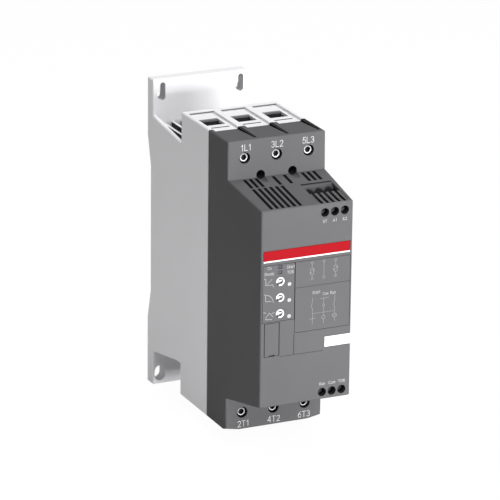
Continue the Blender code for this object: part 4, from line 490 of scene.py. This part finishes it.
# Terminal marks
marks = {
    "line": ("1L1", "3L2", "5L3"), "lineLevel": 196.05, "load": ("2T1", "4T2", "6T3"), "loadLevel": 3.9,
    "powerHeight": 4.0 * mm, "powerStroke": 0.42 * mm, "powerSpread": 0.975, "powerShift": 0.25 * mm,
    "upper": ("ST", "A1", "A2"), "upperShift": -5.9 * mm, "lower": ("Run", "Com", "TOR"),
    "lowerShift": 5.9 * mm, "controlHeight": 1.85 * mm, "controlStroke": 0.27 * mm, "controlStretch": 1.1,
}
for index, x in enumerate(phaseXs):
    for end in ("line", "load"):
        strokes = wordStrokes(marks[end][index], x * marks["powerSpread"] + marks["powerShift"],
                              level(marks[f"{end}Level"]), marks["powerHeight"])
        printStrokes(f"{end}_mark_{index + 1}", strokes, marks["powerStroke"], faceY, printWhite)
for index in range(3):
    for end in ("upper", "lower"):
        screw = centreOf(f"control_screw_{end}_{index + 1}")
        strokes = wordStrokes(marks[end][index], screw.x, screw.z + marks[f"{end}Shift"],
                              marks["controlHeight"], marks["controlStretch"])
        printStrokes(f"{end}_mark_{index + 1}", strokes, marks["controlStroke"], frontY, printPale)
print("terminal marks printed")

# Settings panel: white dots with a small mark, ramp signs, and the words beside the lamps
settings = {
    "dotX": -12.2 * mm, "dotDrop": 2.6 * mm, "dotRadius": 1.25 * mm, "dotText": "S", "dotHeight": 1.5 * mm,
    "dotStroke": 0.3 * mm, "signStroke": 0.32 * mm, "wordStroke": 0.26 * mm, "wordHeight": 1.9 * mm,
    "words": (("On", -26.6, 128.7, printSoft), ("Ready", -26.6, 124.9, printSoft),
              ("Start", -11.4, 127.9, printPale), ("TOR", -11.6, 124.3, printPale)),
    "signs": (
        (line(-29.1, 121.6, -29.1, 117.4), line(-29.1, 117.4, -25.0, 117.2), line(-27.9, 118.3, -24.9, 121.0),
         line(-30.3, 122.2, -29.3, 121.2), line(-24.7, 117.6, -23.3, 115.6)),
        (line(-29.2, 110.6, -29.1, 106.4), line(-29.1, 106.4, -25.2, 106.0), line(-30.2, 111.3, -29.2, 110.6),
         arc(-29.6, 104.5, 6.0, 6.3, 82, 6, 12)),
        (line(-28.8, 95.4, -26.4, 98.1), line(-26.4, 98.1, -23.7, 95.4), line(-28.8, 94.0, -24.6, 93.6),
         line(-30.4, 99.1, -28.9, 98.4), line(-24.6, 97.6, -22.6, 98.3), line(-28.9, 95.2, -28.8, 94.0)),
    ),
}
dials = [centreOf(f"setting_dial_{n}") for n in (1, 2, 3)]
for index, dial in enumerate(dials):
    x, z = settings["dotX"], dial.z - settings["dotDrop"]
    printStrokes(f"dial_dot_{index + 1}", [], 0, frontY, printWhite, [(x, z, settings["dotRadius"])])
    strokes = wordStrokes(settings["dotText"], x, z, settings["dotHeight"])
    printStrokes(f"dot_mark_{index + 1}", strokes, settings["dotStroke"], frontY - printLook["thick"],
                 printFaint)
    sign = [stroke * mm + (0.0, bodyLow) for stroke in settings["signs"][index]]
    printStrokes(f"ramp_sign_{index + 1}", sign, settings["signStroke"], frontY, printSoft)
for text, x, z, ink in settings["words"]:
    strokes = wordStrokes(text, x * mm, level(z), settings["wordHeight"])
    printStrokes(f"lamp_word_{text.lower()}", strokes, settings["wordStroke"], frontY, ink)
print("settings panel printed")

# Diagram plate: power circuit above the line, control circuit below it
diagram = {
    "columns": (3.9, 12.4, 20.8), "top": 128.6, "bottom": 117.6, "stroke": 0.3 * mm, "ring": 0.75,
    "valveLow": 120.6, "valveHigh": 124.6, "valveHalf": 1.1, "arrowHalf": 0.7, "arrowFoot": 0.2,
    "arrowTip": 1.4, "dashFrom": 5.4, "dashTo": 19.8, "dashPitch": 1.9, "dash": 1.0, "dashLevel": 93.5,
    "words": (("Start", 7.2, 107.9, 1.9), ("Com", 13.9, 106.2, 1.6), ("Run", 19.2, 106.2, 1.9)),
}


# Each column runs from ring to ring; the outer two have a pair of valves between two bars.
def powerCircuit():
    strokes = []
    low, high, half = diagram["valveLow"], diagram["valveHigh"], diagram["valveHalf"]
    top, bottom, ring = diagram["top"], diagram["bottom"], diagram["ring"]
    for index, x in enumerate(diagram["columns"]):
        strokes += [arc(x, top, ring, ring, 0, 360, 20), arc(x, bottom, ring, ring, 0, 360, 20)]
        if index == 1:
            strokes.append(line(x, top - ring, x, bottom + ring))
            continue
        strokes += [line(x, top - ring, x, high), line(x, low, x, bottom + ring),
                    line(x - half, high, x + half, high), line(x - half, low, x + half, low)]
        for side in (-1, 1):
            middle = x + side * half
            foot, tip = ((low + high) / 2 + side * diagram[key] for key in ("arrowFoot", "arrowTip"))
            strokes.append(line(middle, high, middle, low))
            strokes += [line(middle + shift, foot, middle, tip)
                        for shift in (-diagram["arrowHalf"], diagram["arrowHalf"])]
    return strokes


# Contacts and lamps between the three wires of the control circuit, and a dashed link.
def controlCircuit():
    left, centre, right = 4.6, 12.6, 20.6
    strokes = [line(10.4, 103.0, 16.4, 103.3), line(left, 104.4, left, 102.6), line(left, 102.6, 3.6, 97.4),
               line(left, 97.2, left, 90.0), line(2.6, 90.0, 6.6, 90.0), line(left, 90.0, left, 86.4),
               line(centre, 103.0, centre, 99.0), arc(centre, 98.1, 0.85, 0.85, 0, 360, 18),
               line(centre, 97.2, centre, 91.2), arc(centre, 89.9, 1.25, 1.1, 0, 360, 22),
               line(centre, 88.7, centre, 86.2), line(right, 104.4, right, 100.6),
               line(right, 100.6, 19.5, 97.2), line(right, 97.0, right, 91.6), line(19.0, 90.3, 22.2, 90.3),
               arc(right, 90.3, 1.5, 1.2, 0, 360, 22), line(right, 89.0, right, 86.6)]
    z = diagram["dashLevel"]
    starts = np.arange(diagram["dashFrom"], diagram["dashTo"], diagram["dashPitch"])
    return strokes + [line(x, z, x + diagram["dash"], z) for x in starts]


for name, strokes in (("power_circuit", powerCircuit()), ("control_circuit", controlCircuit())):
    placed = [stroke * mm + (0.0, bodyLow) for stroke in strokes]
    printStrokes(name, placed, diagram["stroke"], frontY, printFaint)
for text, x, z, height in diagram["words"]:
    strokes = wordStrokes(text, x * mm, level(z), height * mm)
    printStrokes(f"circuit_word_{text.lower()}", strokes, settings["wordStroke"], frontY, printSoft)
print("diagram plate printed")

# Setting dials: fluted edge, sunk face, a raised arrow, and a white open ring that stands in the panel's hole
# and spreads over its edge. The arrow points at one end of the ring's gap.
capLook = {"rim": 0.52 * mm, "sink": 0.45 * mm, "lip": 0.06 * mm, "innerDrop": 0.14 * mm,
           "innerRun": 0.08 * mm, "outerRun": 0.16 * mm, "outerDrop": 0.2 * mm, "depth": 2.2 * mm,
           "shaft": 1.1 * mm, "sides": 96, "flutes": 24, "fluteDepth": 0.06 * mm, "skin": 0.01 * mm}
ringLook = {"reach": 2.9 * mm, "front": 0.2 * mm, "back": 0.05 * mm, "collarGap": 0.03 * mm,
            "collarFront": 0.12 * mm, "collarBack": 0.3 * mm, "gapStart": 196, "gapEnd": 246, "steps": 60}
arrowLook = {"turn": 13, "inset": 0.3 * mm, "wing": 0.95 * mm, "neck": 0.42 * mm, "root": 0.25, "tail": 0.95,
             "front": 0.05 * mm, "sunk": 0.1 * mm, "bevel": 0.05 * mm}


# The cap is a turned body whose rim is drawn in by half of one plus the cosine of the angle times the number
# of flutes.
def capShape(dial, radius, low, high):
    inner, face, lip = radius - capLook["rim"], low.y + capLook["sink"], low.y + capLook["lip"]
    rows = [(0, face, 0), (inner, face, 0), (inner, low.y + capLook["innerDrop"], 0),
            (inner + capLook["innerRun"], lip, 0), (radius - capLook["outerRun"], lip, 0),
            (radius, low.y + capLook["outerDrop"], 0), (radius, low.y + capLook["depth"], 0),
            (capLook["shaft"], low.y + capLook["depth"], 0), (capLook["shaft"], high.y, 0), (0, high.y, 0)]
    points, faces = turnedShape(dial.x, dial.z, rows, capLook["sides"])
    offset = points - (dial.x, 0, dial.z)
    angle = np.arctan2(offset[:, 2], offset[:, 0])
    outside = np.hypot(offset[:, 0], offset[:, 2]) > radius - capLook["skin"]
    groove = capLook["fluteDepth"] * (0.5 + 0.5 * np.cos(capLook["flutes"] * angle)) * outside
    points[:, 0] -= groove * np.cos(angle)
    points[:, 2] -= groove * np.sin(angle)
    return points, faces


# The ring's outline runs along an outer arc and back along an inner one: a flat ring before the panel and a
# collar in its hole.
def ringShapes(dial, radius, inner, low):
    start, end = ringLook["gapEnd"], ringLook["gapStart"] + 360
    within = arc(dial.x, dial.z, inner, inner, end, start, ringLook["steps"])
    shapes = []
    for reach, front, back in ((ringLook["reach"], frontY - ringLook["front"], frontY - ringLook["back"]),
                               (radius - ringLook["collarGap"], frontY - ringLook["collarFront"],
                                low.y + ringLook["collarBack"])):
        outer = arc(dial.x, dial.z, reach, reach, start, end, ringLook["steps"])
        shapes.append(plateShape(np.concatenate([outer, within]), front, back))
    return shapes


# The arrow's outline lies along X and is turned about the dial's axis.
def arrowShape(dial, reach, front, back):
    root, tail = -reach * arrowLook["root"], reach * arrowLook["tail"]
    wing, neck = arrowLook["wing"], arrowLook["neck"]
    outline = line(-reach, 0, root, -wing, root, -neck, tail, -neck, tail, neck, root, neck, root, wing)
    turn = math.radians(arrowLook["turn"])
    cos, sin = math.cos(turn), math.sin(turn)
    return plateShape(outline @ np.array([[cos, sin], [-sin, cos]]) + (dial.x, dial.z), front, back)


for index, dial in enumerate(dials):
    node = f"setting_dial_{index + 1}"
    low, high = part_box(node)
    radius = (high.x - low.x) / 2
    inner = radius - capLook["rim"]
    points, faces = capShape(dial, radius, low, high)
    cap = addMesh(f"dial_cap_{index + 1}", points, faces.tolist(), panelPlastic, node)
    closePoles(cap)
    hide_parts(node)
    arrow = arrowShape(dial, inner - arrowLook["inset"], low.y + arrowLook["front"],
                       low.y + capLook["sink"] + arrowLook["sunk"])
    mark = addShapes(f"dial_mark_{index + 1}", ringShapes(dial, radius, inner, low) + [arrow], whitePlastic,
                     node)
    softenEdges(mark, arrowLook["bevel"])
print("dials made")

# Power screws: a socket screw with a bright chamfered rim, painted shade in its socket as a dark shell, and a
# threaded shank
bolt = {"head": 3.1 * mm, "chamfer": 0.45 * mm, "headLength": 5.2 * mm, "stand": 1.0 * mm,
        "socket": 2.05 * mm, "socketDepth": 2.8 * mm, "socketCone": 0.5 * mm, "lead": 0.2 * mm,
        "leadRun": 0.12 * mm, "shank": 2.55 * mm, "overlap": 0.4 * mm, "pitch": 1.25 * mm,
        "threadDepth": 0.34 * mm, "shadeGap": 0.02 * mm, "shadeWall": 0.08 * mm, "shadeEdge": 0.22 * mm,
        "shadeInside": 0.2 * mm, "shadeOutside": 0.1 * mm}


# A thread: its radius rises and falls once for every pitch along the axis, its phase goes once round with the
# angle, and it runs out over one pitch at both ends.
def threadShape(cx, cz, front, back, radius, pitch, depth, steps=36, rowsPerTurn=8):
    rows = int((back - front) / pitch * rowsPerTurn)
    y = np.linspace(front, back, rows)[:, None]
    angle = np.linspace(0, 2 * np.pi, steps, endpoint=False)[None, :]
    wave = 0.5 + 0.5 * np.cos(2 * np.pi * (y - front) / pitch - angle)
    taper = np.clip(np.minimum(y - front, back - y) / pitch, 0, 1)
    reach = radius - depth * (1 - wave * taper)
    points = np.stack([cx + reach * np.cos(angle), np.repeat(y, steps, 1), cz + reach * np.sin(angle)], -1)
    faces = gridFaces(rows, steps, True)[:, ::-1].tolist()
    last = (rows - 1) * steps
    return points.reshape(-1, 3), faces + [list(range(steps)), list(range(last + steps - 1, last - 1, -1))]


# Rows of the head from the middle of its socket outwards and back to the axis.
def headRows(front, floor):
    head, chamfer, socket = bolt["head"], bolt["chamfer"], bolt["socket"]
    lead, run, back = bolt["lead"], bolt["leadRun"], front + bolt["headLength"]
    return [(0, floor + bolt["socketCone"], 1), (socket, floor, 1), (socket, front + lead, 1),
            (socket + run / 2, front + lead / 10, 0.6), (socket + run, front, 0.3),
            (head - chamfer, front, 0), (head, front + chamfer, 0), (head, back, 0), (0, back, 0)]


# Rows of the socket's painted shade: up its inside and back down its outside.
def socketShadeRows(front, floor):
    outer = bolt["socket"] - bolt["shadeGap"]
    inner = outer - bolt["shadeWall"]
    edge, cone = front + bolt["shadeEdge"], floor + bolt["socketCone"]
    inside, outside = bolt["shadeInside"], bolt["shadeOutside"]
    return [(0, cone - inside, 1), (inner, floor - inside, 1), (inner, edge, 1), (outer, edge, 1),
            (outer, floor - outside, 1), (0, cone - outside, 1)]


for end in ("line", "load"):
    for index in range(3):
        node = f"{end}_screw_{index + 1}"
        low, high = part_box(node)
        centre = centreOf(node)
        front = low.y - bolt["stand"]
        floor = front + bolt["socketDepth"]
        shankFront = front + bolt["headLength"] - bolt["overlap"]
        shank = threadShape(centre.x, centre.z, shankFront, high.y, bolt["shank"], bolt["pitch"],
                            bolt["threadDepth"])
        shapes = [turnedShape(centre.x, centre.z, headRows(front, floor)), shank]
        screw = addShapes(f"{end}_socket_screw_{index + 1}", shapes, screwSteel, node)
        closePoles(screw)
        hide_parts(node)
        points, faces = turnedShape(centre.x, centre.z, socketShadeRows(front, floor))
        socketShade = addMesh(f"{end}_socket_{index + 1}", points, faces.tolist(), socketDark, node)
        closePoles(socketShade)
print("power screws made")

# Control screws: a slotted head, dark in its deep hole. The head's front is two half discs beside the slot.
slotted = {"slot": 0.75 * mm, "slotDepth": 0.9 * mm, "headLength": 3.0 * mm, "shank": 1.15 * mm,
           "pitch": 0.5 * mm, "threadDepth": 0.16 * mm, "turns": (38, 52, 30), "discSunk": 0.1 * mm,
           "overlap": 0.2 * mm, "headSides": 48, "shankSides": 24, "discSteps": 24}
for end in ("upper", "lower"):
    for index in range(3):
        node = f"control_screw_{end}_{index + 1}"
        low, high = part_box(node)
        centre = centreOf(node)
        radius = (high.x - low.x) / 2
        step, headBack = low.y + slotted["slotDepth"], low.y + slotted["headLength"]
        rows = [(0, step, 0), (radius, step, 0), (radius, headBack, 0), (0, headBack, 0)]
        shapes = [turnedShape(centre.x, centre.z, rows, slotted["headSides"])]
        half = math.degrees(math.asin(slotted["slot"] / 2 / radius))
        for side in (0, 180):
            turn = slotted["turns"][index] + side
            outline = arc(centre.x, centre.z, radius, radius, turn + half, turn + 180 - half,
                          slotted["discSteps"])
            shapes.append(plateShape(outline, low.y, step + slotted["discSunk"]))
        shapes.append(threadShape(centre.x, centre.z, headBack - slotted["overlap"], high.y, slotted["shank"],
                                  slotted["pitch"], slotted["threadDepth"], slotted["shankSides"]))
        screw = addShapes(f"slotted_screw_{end}_{index + 1}", shapes, darkSteel, node)
        closePoles(screw)
        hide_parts(node)
print("control screws made")

# Fin ends: each fin runs on past the sink's base, at the top and at the bottom
fins = {"pitch": 6.83 * mm, "half": 0.9 * mm, "count": 9, "front": 39.4 * mm, "overlap": 0.2 * mm,
        "bevel": 0.15 * mm}
shapes = []
for index in range(fins["count"]):
    x = (index - (fins["count"] - 1) / 2) * fins["pitch"]
    left, right = x - fins["half"], x + fins["half"]
    for low, high in ((sinkHigh.z - fins["overlap"], sinkHigh.z + finRise),
                      (sinkLow.z - finRise, sinkLow.z + fins["overlap"])):
        outline = line(left, low, right, low, right, high, left, high)
        shapes.append(plateShape(outline, fins["front"], sinkHigh.y))
tips = addShapes("fin_ends", shapes, finTip, "housing")
softenEdges(tips, fins["bevel"])

# Hole shades: painted shade in the screw holes and channels, as black rings whose rows meet again. Each kind
# has a radius and starts a little behind its face; the channels' rings end before the screws' ledge.
holeShades = {"wall": 0.1 * mm, "clear": 0.03 * mm, "sides": 48, "control": (3.0 * mm, 0.06 * mm, 2.4 * mm),
           "power": (3.9 * mm, 0.25 * mm, 2.2 * mm), "channel": (3.2 * mm, 0.3 * mm), "ledgeGap": 1.0 * mm}


def holeShadeShape(centre, radius, front, back):
    outer = radius - holeShades["clear"]
    inner = outer - holeShades["wall"]
    rows = [(inner, front, 0), (outer, front, 0), (outer, back, 0), (inner, back, 0), (inner, front, 0)]
    return turnedShape(centre.x, centre.z, rows, holeShades["sides"])


shapes = []
for kind, face, ends in (("control", frontY, ("control_screw_upper", "control_screw_lower")),
                         ("power", faceY, ("line_screw", "load_screw"))):
    radius, start, stop = holeShades[kind]
    shapes += [holeShadeShape(centreOf(f"{end}_{n}"), radius, face + start, face + stop)
               for end in ends for n in (1, 2, 3)]
radius, start = holeShades["channel"]
for node in ("cover_screw_1", "cover_screw_2"):
    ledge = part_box(node)[0].y - holeShades["ledgeGap"]
    shapes.append(holeShadeShape(centreOf(node), radius, faceY + start, ledge))
closePoles(addShapes("hole_shades", shapes, socketDark, "housing"))
print("fin ends and sleeves made")

# Trays: painted shade as dark strips that widen their slits, and as grey and dark strips round their windows
# and on their back walls. At a window the dark strip lies beside it and the grey one behind it; its own back
# wall is grey down to a lip and dark below.
surfaceLift = 0.03 * mm  # all strips lie this far off their surface
trays = {"level": 208.6 * mm, "half": 6.6 * mm, "slitFront": -4.4 * mm, "slitBack": -2.7 * mm,
         "windowFront": 2.5 * mm, "windowBack": 14.0 * mm, "beside": 1.7 * mm, "behind": 2.6 * mm,
         "lip": 1.1 * mm, "shadeDrop": 7.0 * mm, "wallY": 27.3 * mm, "wallHalf": 9.1 * mm,
         "wallLow": 0.7 * mm, "depth": 1.8 * mm}


# A height at the upper end (side 1), or its mirror image at the lower end (side -1).
def endLevel(height, side):
    return endCentre + side * (height - endCentre)


# A level strip that looks up (side 1) or down (side -1): four corners, taken the other way round for side -1.
def flatStrip(left, right, near, far, z, side):
    corners = [(left, near, z), (right, near, z), (right, far, z), (left, far, z)]
    return np.array(corners[::side]), [[0, 1, 2, 3]]


# An upright strip that looks towards -Y, between two levels in either order.
def wallStrip(left, right, y, *levels):
    low, high = sorted(levels)
    return np.array([(left, y, low), (right, y, low), (right, y, high), (left, y, high)]), [[0, 1, 2, 3]]


slits, beside, behind = [], [], []
near, far = trays["windowFront"], trays["windowBack"]
for x in phaseXs:
    left, right = x - trays["half"], x + trays["half"]
    outer = left - trays["beside"]
    for side in (1, -1):
        floor, z = endLevel(trays["level"], side), endLevel(trays["level"] + surfaceLift, side)
        lip = floor - side * trays["lip"]
        slits.append(flatStrip(left, right, trays["slitFront"], trays["slitBack"], z, side))
        beside.append(flatStrip(outer, left, near, far, z, side))
        beside.append(wallStrip(left, right, far - surfaceLift, lip, floor - side * trays["shadeDrop"]))
        behind.append(flatStrip(outer, right, far, far + trays["behind"], z, side))
        behind.append(wallStrip(left, right, far - surfaceLift, lip, floor))
        behind.append(wallStrip(x - trays["wallHalf"], x + trays["wallHalf"], trays["wallY"] - surfaceLift,
                                floor + side * trays["wallLow"], floor + side * trays["depth"]))
addShapes("slit_shadow", slits, socketDark, "housing")
addShapes("window_side_shades", beside, socketDark, "housing")
addShapes("window_back_shades", behind, trayShade, "housing")

# Vent shadows: dark strips round the slots of the sloping shoulder. Its height rises evenly from the front
# face to the terminal face.
vents = {"longX": -24.4 * mm, "longCount": 6, "pitch": 4.1 * mm, "longNear": 1.9 * mm, "longFar": 31.4 * mm,
         "shortXs": (-24.2, -20.1, -16.0, -3.6, 4.3, 17.4, 21.5, 25.6), "shortNear": 32.9 * mm,
         "shortFar": 45.4 * mm, "half": 1.1 * mm, "frontLevel": 176.9 * mm, "backLevel": 184.6 * mm,
         "depth": 47.5 * mm}
shoulderRise = (vents["backLevel"] - vents["frontLevel"]) / vents["depth"]


def ventStrip(x, near, far):
    low, high = (vents["frontLevel"] + shoulderRise * y + surfaceLift for y in (near, far))
    left, right = x - vents["half"], x + vents["half"]
    corners = [(left, frontY + near, low), (right, frontY + near, low), (right, frontY + far, high),
               (left, frontY + far, high)]
    return np.array(corners), [[0, 1, 2, 3]]


shapes = [ventStrip(vents["longX"] + vents["pitch"] * index, vents["longNear"], vents["longFar"])
          for index in range(vents["longCount"])]
shapes += [ventStrip(x * mm, vents["shortNear"], vents["shortFar"]) for x in vents["shortXs"]]
addShapes("vent_shadows", shapes, ventShade, "housing")

# Bars over the front part of each wire entry: sloping plates level with the shoulder, between the rim's slots
bars = {"edges": ((8.9, 9.9), (12.0, 14.0), (16.1, 18.1), (20.2, 22.2), (24.3, 26.3), (28.4, 30.3)),
        "near": 3.6 * mm, "far": 15.8 * mm, "sunk": 0.15 * mm, "thick": 1.0 * mm, "underFront": 42.4 * mm,
        "underBack": 32.9 * mm, "bevel": 0.12 * mm}
underRise = (bars["underBack"] - bars["underFront"]) / vents["depth"]


# Eight corners of a plate that slopes along Y, and its six sides.
def slopingPlate(left, right, start, rise, outside):
    y = np.repeat([bars["near"], bars["far"]], 4)
    depth = bars["sunk"] + bars["thick"] * np.tile([1, 1, 0, 0], 2)
    x, z = np.tile([left, right, right, left], 2), start + rise * y - outside * depth
    points = np.stack([x, frontY + y, z], -1)
    sides = np.array([[0, 1, 2, 3], [7, 6, 5, 4], [0, 4, 5, 1], [1, 5, 6, 2], [2, 6, 7, 3], [3, 7, 4, 0]])
    return points, sides if outside > 0 else sides[:, ::-1]


for end, start, rise, outside in (("upper", vents["frontLevel"], shoulderRise, 1),
                                  ("lower", bars["underFront"], underRise, -1)):
    shapes = [slopingPlate(left * mm, right * mm, start, rise, outside) for left, right in bars["edges"]]
    grille = addShapes(f"entry_bars_{end}", shapes, darkPlastic, "housing")
    closePoles(grille)
    softenEdges(grille, bars["bevel"])

# Notch shadows on the dark ends: grids of X and Y whose height follows the housing's surface, found by rays
# that start beyond its ends
notch = {"shift": 9.4 * mm, "half": 1.0 * mm, "near": -38.5 * mm, "far": -11.4 * mm, "rows": 28, "columns": 5,
         "rayStart": 0.2}
housing = nodes["front_housing"]
housingTree = BVHTree.FromObject(housing, bpy.context.evaluated_depsgraph_get())


def surfaceLevel(x, y, side):
    start = housing.matrix_world.inverted() @ Vector((x, y, endCentre + side * notch["rayStart"]))
    hit = housingTree.ray_cast(start, Vector((0, 0, -side)))[0]
    return (housing.matrix_world @ hit).z + side * surfaceLift


shapes = []
ys = np.linspace(notch["near"], notch["far"], notch["rows"])
for x in phaseXs:
    xs = x + notch["shift"] + np.linspace(-notch["half"], notch["half"], notch["columns"])
    gridX, gridY = (grid.ravel() for grid in np.meshgrid(xs, ys))
    for side in (1, -1):
        gridZ = np.vectorize(surfaceLevel)(gridX, gridY, side)
        faces = gridFaces(notch["rows"], notch["columns"])
        shapes.append((np.stack([gridX, gridY, gridZ], -1), faces if side < 0 else faces[:, ::-1]))
addShapes("notch_shadows", shapes, ventShade, "housing")

# Painted shadow of the gap round the small cover: a dark line at each side of the opening's rim
rim = {"gap": 0.3 * mm, "width": 0.3 * mm}
low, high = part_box("bus_cover")
reach = rim["gap"] + rim["width"] / 2
strokes = [line(x, low.z, x, high.z) for x in (low.x - reach, high.x + reach)]
printStrokes("cover_gap_shadow", strokes, rim["width"], frontY, socketDark)
print("shadow lines laid")

# Camera: a long lens from the left front, above
lens = {"focal": 255.54, "sensor": 36.0, "yaw": 24.915, "pitch": 18.652, "roll": 0.625,
        "aimLevel": 119.4 * mm, "shiftRight": 1.091 * mm, "shiftUp": -0.215 * mm, "distance": 2376.58 * mm,
        "clipEnd": 20.0}


def placeCamera():
    yaw, pitch, roll = (math.radians(lens[key]) for key in ("yaw", "pitch", "roll"))
    forward = Vector((math.sin(yaw) * math.cos(pitch), math.cos(yaw) * math.cos(pitch), -math.sin(pitch)))
    right = Vector((math.cos(yaw), -math.sin(yaw), 0.0))
    up = right.cross(forward)
    aim = Vector((0.0, 0.0, lens["aimLevel"])) + right * lens["shiftRight"] + up * lens["shiftUp"]
    turnedRight = right * math.cos(roll) + up * math.sin(roll)
    turnedUp = up * math.cos(roll) - right * math.sin(roll)
    data = bpy.data.cameras.new("photo_camera")
    data.sensor_width = lens["sensor"]
    data.lens = lens["focal"]
    data.clip_end = lens["clipEnd"]
    camera = bpy.data.objects.new("photo_camera", data)
    bpy.context.scene.collection.objects.link(camera)
    rotation = Matrix((turnedRight, turnedUp, -forward)).transposed().to_4x4()
    camera.matrix_world = Matrix.Translation(aim - forward * lens["distance"]) @ rotation
    bpy.context.scene.camera = camera


placeCamera()

# Light: a long low soft box at the right front, level with the body, a wide one above the front that reaches
# over the body to the flange, a soft top light and a weak one from the left. Each has a place and a size in
# metres, and a power.
studio = {
    "key": ((0.62, -1.35, 0.12), (1.2, 0.3), 29.5),
    "over": ((0.15, -1.15, 0.95), (1.3, 0.5), 11.0),
    "top": ((0.1, 0.0, 1.4), (0.9, 0.9), 10.5),
    "left": ((-1.3, 0.6, 0.3), (0.8, 0.8), 0.55),
}
lampAim = (0.0, 0.0, 0.12)
surroundGlow = 0.18  # strength of the surround as a light


def addLamp(name, place, size, power):
    data = bpy.data.lights.new(name, "AREA")
    data.shape = "RECTANGLE"
    data.size, data.size_y = size
    data.energy = power
    lamp = bpy.data.objects.new(name, data)
    bpy.context.scene.collection.objects.link(lamp)
    lamp.location = place
    lamp.rotation_mode = "QUATERNION"
    lamp.rotation_quaternion = (Vector(lampAim) - Vector(place)).to_track_quat("-Z", "Y")


for lampName, lamp in studio.items():
    addLamp(f"{lampName}_light", *lamp)


# One where the camera, a mirror or clear plastic sees the backdrop, nought where it only lights the object.
def seenDirectly(tree):
    rays = tree.nodes.new("ShaderNodeLightPath").outputs
    seen = joinValues(tree, "MAXIMUM", rays["Is Camera Ray"], rays["Is Glossy Ray"])
    return joinValues(tree, "MAXIMUM", seen, rays["Is Transmission Ray"])


# Surround: white where it is seen, dim as a light.
def paintSurround():
    world = bpy.data.worlds.new("surround")
    bpy.context.scene.world = world
    world.use_nodes = True
    tree = world.node_tree
    background = tree.nodes["Background"]
    background.inputs["Color"].default_value = (1.0, 1.0, 1.0, 1.0)
    strength = ramp(tree, seenDirectly(tree), 0.0, 1.0, surroundGlow, 1.0)
    tree.links.new(strength, background.inputs["Strength"])


paintSurround()

# Floor: pale, glowing where it is seen just enough to meet the white surround, with a soft shadow left on it
floorLook = {"size": 6.0, "pale": 0.9, "roughness": 0.9, "glow": 0.95, "strength": 1.02}


def layFloor():
    size = floorLook["size"]
    mesh = bpy.data.meshes.new("floor")
    corners = [(-size, -size, 0.0), (size, -size, 0.0), (size, size, 0.0), (-size, size, 0.0)]
    mesh.from_pydata(corners, [], [(0, 1, 2, 3)])
    floor = bpy.data.objects.new("floor", mesh)
    bpy.context.scene.collection.objects.link(floor)
    material, tree, shader = newMaterial("pale_floor")
    shader.inputs["Base Color"].default_value = (*[floorLook["pale"]] * 3, 1.0)
    shader.inputs["Roughness"].default_value = floorLook["roughness"]
    shader.inputs["Specular IOR Level"].default_value = 0.0
    glow = tree.nodes.new("ShaderNodeEmission")
    glow.inputs["Strength"].default_value = floorLook["strength"]
    blend = tree.nodes.new("ShaderNodeMixShader")
    share = joinValues(tree, "MULTIPLY", seenDirectly(tree), floorLook["glow"])
    tree.links.new(share, blend.inputs["Fac"])
    tree.links.new(shader.outputs["BSDF"], blend.inputs[1])
    tree.links.new(glow.outputs["Emission"], blend.inputs[2])
    tree.links.new(blend.outputs["Shader"], tree.nodes["Material Output"].inputs["Surface"])
    mesh.materials.append(material)


layFloor()
bpy.context.scene.view_settings.view_transform = "Standard"
print("camera, lamps and floor set")
